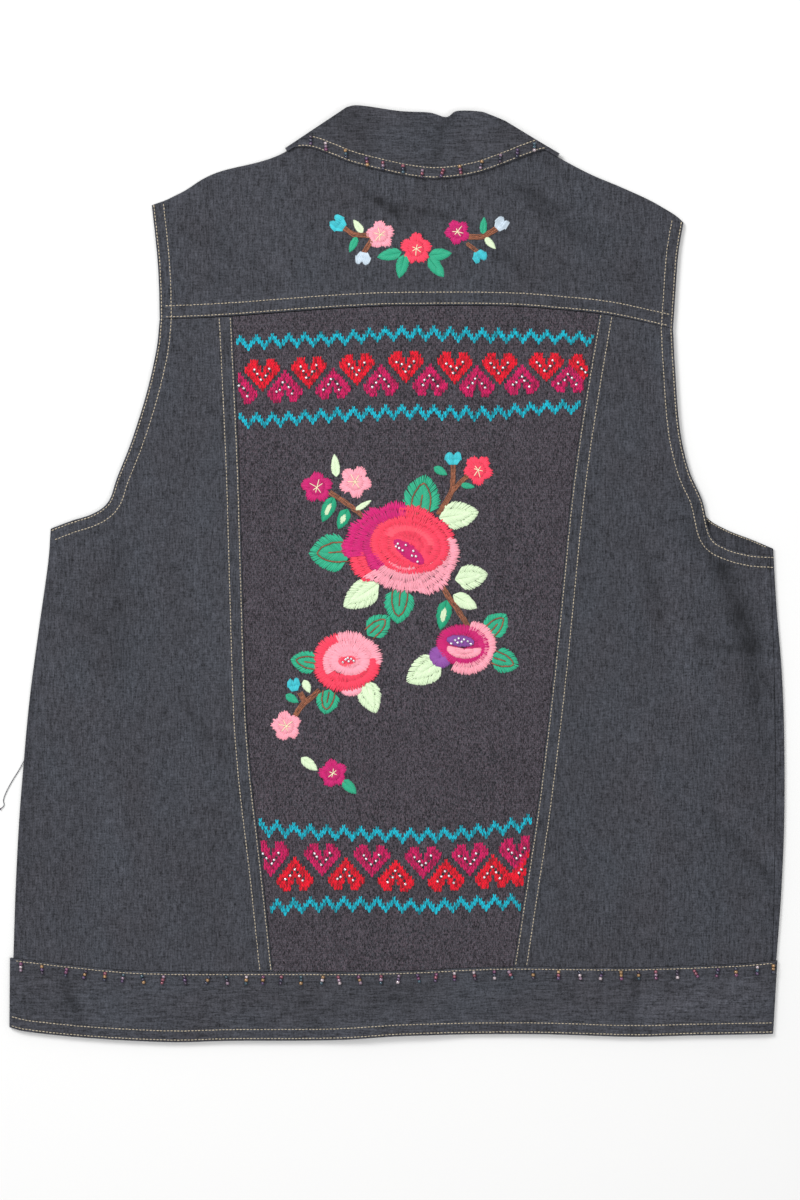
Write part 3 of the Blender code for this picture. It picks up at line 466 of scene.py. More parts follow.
# Soft lifts of the fronts off the surface
FRONT_CREASES = (
    (-230, -60, -120, -100, 10, 0.3),
    (-200, -210, -80, -180, 12, 0.28),
    (-150, 60, -90, 150, 11, 0.3),
    (-60, -120, -30, 20, 9, 0.25),
    (210, -40, 120, -90, 11, 0.3),
    (230, -190, 110, -220, 12, 0.28),
    (160, 60, 90, 140, 10, 0.3),
    (60, -140, 80, 40, 10, 0.25),
    (-120, 220, -60, 190, 8, 0.22),
    (150, 220, 110, 180, 8, 0.22),
)
SEAM_PUCKER = 0.12
# Where the denim is painted darker in creases and on the sides of folds away from the key light (painted
# shade) and paler on ridges and rubbed places (painted light, partly real rubbing wear): start x, y, end x,
# y, half width, tone
SHADE_LIGHT_AND_WEAR = (
    (219, 34, 244, 4, 6, -0.3),
    (244, 4, 257, -31, 8, -0.34),
    (257, -31, 264, -50, 9, -0.3),
    (264, -50, 269, -90, 8, -0.28),
    (269, -90, 273, -130, 7, -0.15),
    (178, 32, 190, -5, 5, -0.14),
    (190, -5, 198, -32, 5, -0.16),
    (205, 12, 222, -95, 10, 0.12),
    (277, -4, 281, -65, 5, 0.15),
    (-250, -322, 178, -322, 26, 0.06),
    (214, 62, 232, 38, 5, -0.22),
    (232, 38, 268, 22, 4.5, -0.22),
    (222, -51, 250, -56, 3.4, -0.2),
    (250, -56, 278, -57, 3.2, -0.24),
    (235, -181, 280, -229, 4.5, -0.2),
    (243, -173, 284, -215, 5, 0.12),
    (180, -120, 196, -260, 16, 0.07),
    (-281, -60, -285, -220, 8, -0.16),
    (-209, 12, -210, -68, 12, -0.14),
    (-232, -95, -205, -240, 15, 0.08),
    (-150, 60, -140, -90, 12, 0.06),
    (-160, -94, -136, -132, 4.5, -0.14),
    (-262, -22, -226, -36, 5, -0.12),
    (-30, 291, -13, 278.5, 3.4, -0.3),
    (-13, 278.5, -3, 271.5, 3.6, -0.45),
    (-3, 271.5, 13, 263.5, 3.4, -0.3),
    (4, 275, 20, 270.5, 3.2, -0.24),
    (20, 270.5, 38, 267, 3.2, -0.3),
    (85, 291, 124, 273, 3.6, -0.36),
    (155, 222, 200, 215, 20, -0.07),
    (-40, 326, 92, 330, 26, -0.06),
    (192, -322, 258, -318, 15, 0.34),
    (265, -306, 281, -320, 8, 0.12),
    (96, 279, 152, 246, 4.2, -0.2),
    (73, 240, 94, 232, 3.6, -0.26),
    (110, 311, 130, 296, 3.6, -0.2),
    (-166, 262, -122, 240, 5, -0.12),
    (-150, 226, -96, 214, 5.5, -0.1),
    (36.5, 344, 27, 305, 4.2, -0.26),
    (56, 342, 66, 320, 9, 0.12),
    (-36, 348, -30, 318, 9, -0.14),
    (-4, 346, 6, 316, 8, 0.08),
    (-250, -305, -244, -320, 4.2, -0.34),
    (-244, -320, -235, -340, 4.2, -0.28),
    (-73, -316, -59, -342, 4, -0.24),
    (179, -303, 176, -346, 3.2, -0.34),
    (205, -300, 199, -322, 4, -0.18),
    (-30, -304, 6, -318, 5, -0.16),
)


def ridges(points, table):
    """Summed height of straight soft ridges and troughs, uneven along their length."""
    found = np.zeros(points.shape[:-1])
    for x0, y0, x1, y1, width, height in table:
        near = distance(points, np.array(((x0, y0), (x1, y1)), float)) / width
        found += height * np.exp(-near * near)
    return found


def add_shade_light_and_wear(piece):
    """Gives every point of a cloth piece its share of the painted shade and light of the creases and ridges,
    partly rubbing wear.
    """
    count = len(piece.data.vertices)
    points = np.empty(count * 3)
    piece.data.vertices.foreach_get("co", points)
    plan = points.reshape(-1, 3)[:, :2] / MM
    shade_light_and_wear = piece.data.attributes.new("shade_light_and_wear", "FLOAT", "POINT")
    shade_light_and_wear.data.foreach_set("value", blocks(lambda spots: ridges(spots, SHADE_LIGHT_AND_WEAR), plan))


def rumpled(points):
    """Height of the back over the middle height, with its narrow creases."""
    away = np.min([distance(points, side) for side in folded_sides], axis=0)
    x, y = points[..., 0], points[..., 1]
    fine = RUMPLE_HEIGHT * np.sin(x / 17 + 1.3 * np.sin(y / 29)) * np.cos(y / 14 + 1.1 * np.sin(x / 35))
    return wave(points) + (ridges(points, CREASES) + fine) * ease((away - 1) / 12)


def blocks(work, points, size=12000):
    """A height function over many points, in blocks that keep its arrays small."""
    flat = points.reshape(-1, 2)
    parts = [work(flat[start : start + size]) for start in range(0, len(flat), size)]
    return np.concatenate(parts).reshape(points.shape[:-1])


def seam_pucker(points, path, rows):
    """The small uneven puckers that the thread draws up beside its rows."""
    away = distance(points, path)
    x, y = points[..., 0], points[..., 1]
    run = x + 0.8 * y
    beat = np.sin(run / 1.6 + 1.7 * np.sin(run / 7.3)) * np.cos(run / 11.0 + 0.6)
    near = np.max([np.exp(-(((away - row) / 2.6) ** 2)) for row in rows], axis=0)
    return SEAM_PUCKER * beat * near


def back_height(points):
    """Height of the outside of the back, without the laps of its seams."""
    return middle_height(points) + rumpled(points) + FOLD_OUTSIDE


def wall_points(points, inner_points, raised):
    """Outer and inner points of a piece of the back, given in plan."""
    outer = with_height(points, blocks(back_height, points) + raised)
    under = blocks(lambda p: middle_height(p) + rumpled(p), inner_points)
    return outer, with_height(inner_points, under + FOLD_INSIDE)


def shell(name, outer, inner, keep=None):
    """One closed wall between two grids of points. keep says which cells of the grid are cloth."""
    count_u, count_v = outer.shape[:2]
    cells = np.ones((count_u - 1, count_v - 1), bool) if keep is None else keep
    total = count_u * count_v
    number = np.arange(total).reshape(count_u, count_v)
    corners = (number[:-1, :-1], number[1:, :-1], number[1:, 1:], number[:-1, 1:])
    top = np.stack([corner[cells] for corner in corners], axis=1)
    ends = np.concatenate([top[:, [k, (k + 1) % 4]] for k in range(4)]).tolist()
    shared = {(a, b) for a, b in ends}
    rim = [(a, b) for a, b in ends if (b, a) not in shared]
    sides = np.array([(b, a, a + total, b + total) for a, b in rim])
    faces = np.concatenate([top, top[:, ::-1] + total, sides])
    points = np.concatenate([outer.reshape(-1, 3), inner.reshape(-1, 3)]) * MM
    return mesh_piece(name, points, faces)


def put(name, data):
    """An object with this data, in the scene."""
    made = bpy.data.objects.new(name, data)
    bpy.context.scene.collection.objects.link(made)
    return made


def smooth_mesh(name, points, faces):
    data = bpy.data.meshes.new(name)
    data.from_pydata(points, [], faces)
    data.shade_smooth()
    return data


def facing_out(points, faces):
    """The quads of a closed surface, turned round if they face in."""
    a, b, c, d = (points[faces[:, k]] for k in range(4))
    volume = (a * np.cross(b, c)).sum() + (a * np.cross(c, d)).sum()
    return faces[:, ::-1] if volume < 0 else faces


def mesh_piece(name, points, faces):
    """A mesh object of these points and quads, facing out."""
    used, place = np.unique(faces, return_inverse=True)
    points = points[used]
    faces = facing_out(points, place.reshape(faces.shape))
    data = smooth_mesh(name, points.tolist(), faces.tolist())
    data.set_sharp_from_angle(angle=math.radians(SHARP_ANGLE))
    return put(name, data)


def over_fold(grid, place, rises, chosen, sign):
    """Sets the heights of the outer lines of a folded side or top, by their rises from the middle height."""
    for line, rise in enumerate(rises):
        spots = (line, chosen) if place == "side" else (chosen, -1 - line)
        grid[spots + (2,)] = middle_height(grid[spots][:, :2]) + sign * rise


def up_to(end):
    """Whether shares lie on the first stretch of a side, which ends at this one."""
    return lambda share: share <= end + SAME_SHARE


def edge_depths(folded, free, is_folded):
    """Depths of the lines along a side: the first ones where it is folded, the others where it is free."""

    def line_depth(fold, open_edge):
        return lambda share: np.where(is_folded(share), fold, open_edge)

    return [line_depth(*pair) for pair in zip(folded, free)]


EDGE_DEPTHS = (0.15, 0.45, 1.1)
EDGE_DROPS = (0.4, 0.12, 0.0)
# Depths of the topstitched rows that pucker the cloth
SEAM_ROWS = (1.5, 9.75)
HOLE_ROWS = (2.3, 10.5)
HEM_ROWS = (1.2, 7.2)
BAND_SEAM_ROWS = (1.8,)
LAP_LINES = (4.5, 8.2, LAP_WIDTH, LAP_WIDTH + LAP_SLOPE)
SHOULDER_END = 0.31
SHOULDER_START = 0.72


def yoke_piece():
    """Back yoke: lapped over the panels below, folded to the fronts at the shoulders."""
    panel = Panel(
        Edge(left_armhole_top),
        Edge(right_armhole_top),
        Edge(yoke_seam),
        Edge(
            left_shoulder,
            shifted(neck_seam, 0, -SEAM_GAP / 2),
            right_shoulder,
            ends=(SHOULDER_END, SHOULDER_START, 1.0),
        ),
    )
    columns = np.concatenate(
        [
            np.linspace(0.055, SHOULDER_END, 30),
            np.linspace(SHOULDER_END, SHOULDER_START, 50)[1:-1],
            np.linspace(SHOULDER_START, 0.945, 27),
        ]
    )
    side = FREE_DEPTHS + LAP_LINES

    def on_shoulder(share):
        return (share <= SHOULDER_END + SAME_SHARE) | (share >= SHOULDER_START - SAME_SHARE)

    def depths(folded):
        return edge_depths(folded, FREE_DEPTHS, on_shoulder)[::-1]

    shape = dict(left=side, right=side[::-1], bottom=EDGE_DEPTHS + LAP_LINES, columns=columns)
    rows = np.linspace(0.19, 0.965, 34)
    plan, u, _ = panel.grid(top=depths(OUTER_DEPTHS), rows=rows, **shape)
    inner_plan, _, _ = panel.grid(top=depths(INNER_DEPTHS), rows=rows, **shape)
    edges = (yoke_seam, left_armhole_top, right_armhole_top)
    raised = np.maximum.reduce([lap(distance(plan, edge)) for edge in edges])
    raised += seam_pucker(plan, yoke_seam, SEAM_ROWS)
    raised += sum(seam_pucker(plan, edge, HOLE_ROWS) for edge in edges[1:])
    for line, drop in enumerate(EDGE_DROPS):
        raised[:, line] -= drop
    for line, drop in enumerate(FREE_DROPS):
        raised[line] -= drop
        raised[-1 - line] -= drop
    outer, inner = wall_points(plan, inner_plan, raised)
    folded = on_shoulder(u[:, -1])
    over_fold(outer, "top", OUTER_RISES, folded, 1)
    over_fold(inner, "top", INNER_RISES, folded, 1)
    return shell("yoke_cloth", outer, inner)


def centre_piece():
    """Knit centre panel, under the laps of the pieces round it."""
    half = SEAM_GAP / 2
    top = cut(yoke_seam, 0, -123.5, 152)
    bottom = cut(band_seam, 0, -93, 87)
    left = cut(left_panel_seam, 1, bottom[0, 1], top[0, 1])
    right = cut(right_panel_seam, 1, bottom[-1, 1], top[-1, 1])
    panel = Panel(Edge(left), Edge(right), Edge(bottom), Edge(top))
    columns = np.linspace(0.012, 0.988, 84)
    rows = np.linspace(0.006, 0.994, 170)
    plan, _, _ = panel.grid((half,), (half,), (half,), (half,), columns, rows)
    outer, inner = wall_points(plan, plan, 0)
    return shell("knit_centre_cloth", outer, inner)


def two_runs(start, middle, end, first_count, second_count):
    """Shares evenly spaced up to the middle one, and evenly spaced beyond it."""
    first = np.linspace(start, middle, first_count)
    return np.concatenate([first, np.linspace(middle, end, second_count)[1:]])


def side_rows():
    return two_runs(0.008, UNDERARM_SHARE, 0.988, 92, 74)


def left_side_piece():
    """Left side panel: folded at the side seam, free at the armhole, lapped over the knit panel."""
    half = SEAM_GAP / 2
    top = cut(yoke_seam, 0, -178, -123.5)
    bottom = cut(band_seam, 0, -288, -93)
    seam = cut(left_panel_seam, 1, bottom[-1, 1], top[-1, 1])
    side = cut(left_side, 1, bottom[0, 1], 34)
    panel = Panel(Edge(side, left_armhole, ends=(UNDERARM_SHARE, 1.0)), Edge(seam), Edge(bottom), Edge(top))

    def depths(folded):
        return edge_depths(folded, FREE_DEPTHS, up_to(UNDERARM_SHARE)) + list(LAP_LINES)

    shape = dict(
        right=LAP_LINES[::-1] + EDGE_DEPTHS[::-1],
        bottom=(half,),
        top=(half,),
        columns=np.linspace(0, 1, 52)[1:-1],
        spread=True,
        rows=side_rows(),
    )
    plan, _, v = panel.grid(left=depths(OUTER_DEPTHS), **shape)
    inner_plan, _, _ = panel.grid(left=depths(INNER_DEPTHS), **shape)
    raised = np.maximum(lap(distance(plan, left_armhole)), lap(distance(plan, left_panel_seam)))
    raised += seam_pucker(plan, left_armhole, HOLE_ROWS) + seam_pucker(plan, left_panel_seam, SEAM_ROWS)
    for line, drop in enumerate(EDGE_DROPS):
        raised[-1 - line] -= drop
    folded = up_to(UNDERARM_SHARE)(v[0])
    for line, drop in enumerate(FREE_DROPS):
        raised[line, ~folded] -= drop
    outer, inner = wall_points(plan, inner_plan, raised)
    over_fold(outer, "side", OUTER_RISES, folded, 1)
    over_fold(inner, "side", INNER_RISES, folded, 1)
    return shell("left_side_cloth", outer, inner)


def right_side_piece():
    """Right side panel: its side seam lies just inside the fold, on the back."""
    half = SEAM_GAP / 2
    top = cut(yoke_seam, 0, 152, 207)[::-1]
    bottom = cut(band_seam, 0, 87, 282)[::-1]
    seam = cut(right_panel_seam, 1, bottom[-1, 1], top[-1, 1])
    side = cut(right_seam_line, 1, bottom[0, 1], 14)
    panel = Panel(Edge(side, right_armhole, ends=(UNDERARM_SHARE, 1.0)), Edge(seam), Edge(bottom), Edge(top))
    depths = edge_depths(EDGE_DEPTHS, FREE_DEPTHS, lambda share: share <= UNDERARM_SHARE - SAME_SHARE)
    plan, _, _ = panel.grid(
        left=depths + list(LAP_LINES),
        right=LAP_LINES[::-1] + EDGE_DEPTHS[::-1],
        bottom=(half,),
        top=(half,),
        columns=np.linspace(0, 1, 54)[1:-1],
        spread=True,
        rows=side_rows(),
    )
    raised = np.maximum(lap(distance(plan, right_armhole)), lap(distance(plan, right_panel_seam)))
    raised += seam_pucker(plan, right_armhole, HOLE_ROWS) + seam_pucker(plan, right_panel_seam, SEAM_ROWS)
    for line, drop in enumerate(EDGE_DROPS):
        raised[line] -= drop
        raised[-1 - line] -= drop
    outer, inner = wall_points(plan, plan, raised)
    return shell("right_side_cloth", outer, inner)


def front_height(points, lifted):
    """Height of a front's underside, with its soft creases."""
    rest = leaf_lift(points) + (front_lap_lift(points) if lifted else 0)
    away = np.min([distance(points, side) for side in folded_sides], axis=0)
    return rest + ridges(points, FRONT_CREASES) * ease((away - 4) / 20)


def front_shape():
    """The columns, rows and shared lines of a front."""
    columns = two_runs(0.02, SHOULDER_SHARE, 0.965, 30, 28)
    rows = two_runs(0.012, FRONT_UNDERARM_SHARE, 0.98, 44, 70)
    return dict(right=(4.0, 1.5, 0), bottom=(SEAM_GAP / 2,), columns=columns, rows=rows)


def shoulder_depths(folded):
    free = [NECK_GAP / 2 + depth for depth in FREE_DEPTHS]
    return edge_depths(folded, free, up_to(SHOULDER_SHARE))[::-1]


def left_front_piece():
    """Left front, lapped over the right one at the middle."""
    lap_line = shifted(centre_front, FRONT_LAP / 2, 0)
    bottom = cut(band_seam, 0, -288, lap_line[0, 0])
    side = cut(left_side, 1, bottom[0, 1], 34)
    neck = smooth_path(FRONT_NECK_LEFT)
    top = Edge(left_shoulder, neck, ends=(SHOULDER_SHARE, 1.0))
    edge = np.vstack([bottom[-1], neck[-1]])
    outline = Edge(side, front_left_armhole, ends=(FRONT_UNDERARM_SHARE, 1.0))
    panel = Panel(outline, Edge(edge), Edge(bottom), top)

    def left_depths(folded):
        return edge_depths(folded, FREE_DEPTHS, up_to(FRONT_UNDERARM_SHARE))

    shape = front_shape()
    plan, u, v = panel.grid(left=left_depths(OUTER_DEPTHS), top=shoulder_depths(OUTER_DEPTHS), **shape)
    inner_plan, _, _ = panel.grid(left=left_depths(INNER_DEPTHS), top=shoulder_depths(INNER_DEPTHS), **shape)
    outer = with_height(plan, blocks(lambda p: front_height(p, True), plan))
    inner = with_height(inner_plan, blocks(lambda p: front_height(p, True), inner_plan) + WALL)
    at_side = up_to(FRONT_UNDERARM_SHARE)(v[0])
    at_shoulder = up_to(SHOULDER_SHARE)(u[:, -1])
    for grid, rises in ((outer, OUTER_RISES), (inner, INNER_RISES)):
        over_fold(grid, "side", rises, at_side, -1)
        over_fold(grid, "top", rises, at_shoulder, -1)
    return shell("left_front_cloth", outer, inner)


def right_front_piece():
    """Right front, lowest at the middle. It turns over the side fold and meets the back's side seam."""
    half = SEAM_GAP / 2
    lap_line = shifted(centre_front, -FRONT_LAP / 2, 0)
    bottom = cut(band_seam, 0, lap_line[0, 0], 285)[::-1]
    side = cut(right_side, 1, bottom[0, 1], 19)
    neck = smooth_path(FRONT_NECK_RIGHT)[::-1]
    top = Edge(right_shoulder[::-1], neck, ends=(SHOULDER_SHARE, 1.0))
    edge = np.vstack([bottom[-1], neck[-1]])
    outline = Edge(side, front_right_armhole, ends=(FRONT_UNDERARM_SHARE, 1.0))
    panel = Panel(outline, Edge(edge), Edge(bottom), top)
    turns = np.radians((90, 60, 30, 0))

    def side_depths(radius):
        """Lines of the lower half of the side fold, from its widest to level."""
        return edge_depths(FOLD_OUTSIDE - radius * np.sin(turns), FREE_DEPTHS, up_to(FRONT_UNDERARM_SHARE))

    shape = front_shape()
    plan, u, v = panel.grid(left=side_depths(FOLD_OUTSIDE), top=shoulder_depths(OUTER_DEPTHS), **shape)
    inner_plan, _, _ = panel.grid(left=side_depths(FOLD_INSIDE), top=shoulder_depths(INNER_DEPTHS), **shape)
    outer = with_height(plan, blocks(lambda p: front_height(p, False), plan))
    inner = with_height(inner_plan, blocks(lambda p: front_height(p, False), inner_plan) + WALL)
    at_side = up_to(FRONT_UNDERARM_SHARE)(v[0])
    at_shoulder = up_to(SHOULDER_SHARE)(u[:, -1])
    for grid, radius, rises in ((outer, FOLD_OUTSIDE, OUTER_RISES), (inner, FOLD_INSIDE, INNER_RISES)):
        over_fold(grid, "side", radius * np.cos(turns), at_side, -1)
        over_fold(grid, "top", rises, at_shoulder, -1)
    # The turn over the fold: the side seam on top, level cloth, up the fold
    over = []
    for radius, grid in ((FOLD_OUTSIDE, outer), (FOLD_INSIDE, inner)):
        widest = grid[0].copy()
        lines = []
        for turn in np.radians((0, 30, 60)):
            line = widest.copy()
            line[:, 0] -= radius * (1 - np.sin(turn))
            line[:, 2] += radius * np.cos(turn)
            lines.append(line)
        seam = lines[0].copy()
        seam_x = np.interp(seam[:, 1], right_seam_line[:, 1], right_seam_line[:, 0])
        seam[:, 0] = np.minimum(seam_x + half, lines[0][:, 0] - 0.2)
        seam[:, 2] -= 0.25 if radius == FOLD_OUTSIDE else 0
        over.append(np.stack([seam] + lines))
    outer = np.concatenate([over[0], outer])
    inner = np.concatenate([over[1], inner])
    keep = np.ones((outer.shape[0] - 1, outer.shape[1] - 1), bool)
    corner = int(np.nonzero(at_side)[0].max())
    keep[:4, corner:] = False
    return shell("right_front_cloth", outer, inner, keep)


BAND_ROWS_LOW = np.array((0, 0.3, 0.8, 1.5, 4.5, 8.0, 12, 13.5))
BAND_ROWS_SHARE = np.array((0.36, 0.44, 0.52, 0.6, 0.68, 0.76, 0.84, 0.9))
BAND_ROWS_TOP = np.array((2.6, 1.1, 0.4, 0))
# How far the waistband's outer lines drop: line, drop
BAND_EDGE_DROPS = ((0, 0.45), (1, 0.15), (-1, 0.35), (-2, 0.1))


def band_height(points):
    """Height of the outside of the waistband over the back."""
    return BAND_MIDDLE + BAND_OUTSIDE + front_lap_lift(points) + rumpled(points)


def waistband_piece():
    """Doubled band round the whole waist, lapped at the middle front."""
    half = SEAM_GAP / 2
    middle_x = CENTRE_FRONT_FOOT[0]
    lap_half = FRONT_LAP / 2
    angles = np.radians((-90, -60, -30, 0, 30, 60, 90))
    under = np.linspace(0.0, 0.985, 46)
    over_back = np.linspace(0.01, 0.99, 170)
    sections = [("under_right", share, 0) for share in under]
    sections += [("right", 1, angle) for angle in angles]
    sections += [("over", share, 0) for share in over_back[::-1]]
    sections += [("left", 0, angle) for angle in angles[::-1]]
    sections += [("under_left", share, 0) for share in under[::-1]]
    rows = len(BAND_ROWS_LOW) + len(BAND_ROWS_SHARE) + len(BAND_ROWS_TOP)
    grids = []
    for radius in (BAND_OUTSIDE, FOLD_INSIDE):
        grid = np.zeros((len(sections), rows, 3))
        for number, (where, share, angle) in enumerate(sections):
            ends = []
            for left_x, right_x in ((BAND_LEFT[0], BAND_RIGHT[0]), (BAND_LEFT[1], BAND_RIGHT[1])):
                left_fold = left_x + BAND_OUTSIDE
                right_fold = right_x - BAND_OUTSIDE
                x = {
                    "under_right": middle_x - lap_half + (right_fold - middle_x + lap_half) * share,
                    "right": right_fold + radius * np.cos(angle),
                    "over": left_fold + (right_fold - left_fold) * share,
                    "left": left_fold - radius * np.cos(angle),
                    "under_left": middle_x + lap_half + (left_fold - middle_x - lap_half) * share,
                }[where]
                ends.append(x)
            top_y = np.interp(ends[0], band_seam[:, 0], band_seam[:, 1]) - half
            low_y = np.interp(ends[1], hem[:, 0], hem[:, 1])
            height = top_y - low_y
            down = np.concatenate(
                [low_y + BAND_ROWS_LOW, low_y + height * BAND_ROWS_SHARE, top_y - BAND_ROWS_TOP]
            )
            across = ends[1] + (ends[0] - ends[1]) * (down - low_y) / height
            points = np.stack([across, down], axis=-1)
            if where == "under_right":
                z = np.full(rows, BAND_MIDDLE - radius) + ridges(points, FRONT_CREASES)
            elif where == "under_left":
                z = BAND_MIDDLE - radius + front_lap_lift(points) + ridges(points, FRONT_CREASES)
            elif where == "over":
                z = BAND_MIDDLE + radius + front_lap_lift(points) + rumpled(points)
                if radius == BAND_OUTSIDE:
                    z += HEM_RAISE * (down - low_y <= LAP_WIDTH + SAME_SHARE)
                    z += seam_pucker(points, hem, HEM_ROWS) + seam_pucker(points, band_seam, BAND_SEAM_ROWS)
                    for line, drop in BAND_EDGE_DROPS:
                        z[line] -= drop
            else:
                z = np.full(rows, BAND_MIDDLE + radius * np.sin(angle))
            grid[number] = with_height(points, z)
        grids.append(grid)
    return shell("waistband_cloth", *grids)


def collar_rise(points):
    """Height of the collar above the middle height, with its creases."""
    x, y = points[..., 0], points[..., 1]
    soft = COLLAR_WAVE_HEIGHT * np.sin(x / 13 + y / 31) * np.cos(x / 29 - y / 17)
    return wave(points) + ridges(points, COLLAR_CREASES) + soft


def collar_height(points):
    """Height of the outside of the collar's fall, without its raised edge."""
    return middle_height(points) + collar_rise(points) + LEAF_OUTSIDE


def collar_grid(lines, counts, radius, across, raised=0.0, slide=False):
    """One surface of a collar piece, from the left front, round the neck, to the right front."""
    sections = []
    turn_angles = np.radians((-90, -60, -30, 0, 30, 60))
    for number, (roll, far) in enumerate(lines):
        share = np.linspace(0, 1, counts[number])
        starts = along(roll, share)
        ends = along(far, share)
        if number == 1:
            turns = []
            for end, normal in ((0, LEFT_FOLD_NORMAL), (-1, RIGHT_FOLD_NORMAL)):
                inward = -LEAF_OUTSIDE * np.array(normal)
                direction = ends[1] - ends[0] if end == 0 else ends[-2] - ends[-1]
                slid = direction * LEAF_OUTSIDE**2 / (direction * inward).sum()
                starts[end] += inward
                ends[end] += slid if slide else inward
                line = starts[end] + (ends[end] - starts[end]) * across[:, None]
                outward = np.array(normal)
                turns.append(
                    [
                        with_height(line + radius * np.cos(a) * outward, LEAF_MIDDLE + radius * np.sin(a))
                        for a in turn_angles
                    ]
                )
            points = starts[:, None] + (ends - starts)[:, None] * across[None, :, None]
            height = middle_height(points) + collar_rise(points) + radius + raised
            sections += turns[0] + list(with_height(points, height)) + turns[1][::-1]
        else:
            level = starts[:, None] + (ends - starts)[:, None] * across[None, :, None]
            level = with_height(level, LEAF_MIDDLE - radius)
            sections += list(level[:-1] if number == 0 else level[1:])
    return np.array(sections)


def collar_leaf_piece():
    """The fall of the collar: over the yoke at the back, under the fronts at the front."""
    across = np.concatenate(
        [(0, 0.25, 0.6, 1.2, 2.0), np.linspace(4.5, 43.5, 15), (45, 47.5, 50, 52, 53.2, 53.7, LEAF_WIDTH)]
    )
    depths = (0, 0.25, 0.6, 1.2, 2.0, 43.5, 45, 53.2, 53.7, LEAF_WIDTH)
    raised = np.interp(across, depths, (-1.0, -0.6, -0.3, -0.1, 0, 0, 0.4, 0.4, 0.25, -0.05))
    lines = (
        (smooth_path(LEFT_FRONT_ROLL), smooth_path(LEFT_FRONT_EDGE)),
        (smooth_path(ROLL_LINE), smooth_path(COLLAR_EDGE)),
        (smooth_path(RIGHT_FRONT_ROLL), smooth_path(RIGHT_FRONT_EDGE)),
    )
    outer = collar_grid(lines, (22, 76, 22), LEAF_OUTSIDE, across / LEAF_WIDTH, raised)
    inner = collar_grid(lines, (22, 76, 22), LEAF_INSIDE, across / LEAF_WIDTH)
    return shell("collar_fall_cloth", outer, inner)


def collar_stand_piece():
    """The stand of the collar, from the neck seam up to the roll."""
    left_neck = cut(smooth_path(FRONT_NECK_LEFT), 1, 262, 330)
    right_neck = cut(smooth_path(FRONT_NECK_RIGHT), 1, 262, 322)[::-1]
    neck = shifted(neck_seam, 0, SEAM_GAP / 2)
    for end, inner_point in ((0, 1), (-1, -2)):
        outward = neck[end] - neck[inner_point]
        neck[end] += outward / np.hypot(*outward) * NECK_RUN_ON
    lines = (
        (smooth_path(LEFT_FRONT_ROLL), left_neck),
        (smooth_path(ROLL_LINE), neck),
        (smooth_path(RIGHT_FRONT_ROLL), right_neck),
    )
    lines = [(roll + (far.mean(axis=0) - roll.mean(axis=0)) * ROLL_INSET, far) for roll, far in lines]
    across = np.linspace(0, 1, 9)
    outer = collar_grid(lines, (20, 40, 20), FOLD_OUTSIDE, across, slide=True)
    inner = collar_grid(lines, (20, 40, 20), FOLD_INSIDE, across, slide=True)
    return shell("collar_stand_cloth", outer, inner)


# Size of one loop of the knit, in metres
KNIT_COLUMN = 0.00135
KNIT_ROW = 0.0015


def operation_of(kind, swapped=False):
    """A Python operator on a shader value, which adds one Math node."""

    def work(self, other):
        return self.recipe.maths(kind, *((other, self) if swapped else (self, other)))

    return work


class Sum:
    """A shader value that goes into Python expressions."""

    def __init__(self, recipe, socket):
        self.recipe = recipe
        self.socket = socket

    __add__ = operation_of("ADD")
    __radd__ = operation_of("ADD", True)
    __sub__ = operation_of("SUBTRACT")
    __rsub__ = operation_of("SUBTRACT", True)
    __mul__ = operation_of("MULTIPLY")
    __rmul__ = operation_of("MULTIPLY", True)
    __truediv__ = operation_of("DIVIDE")
    __rtruediv__ = operation_of("DIVIDE", True)


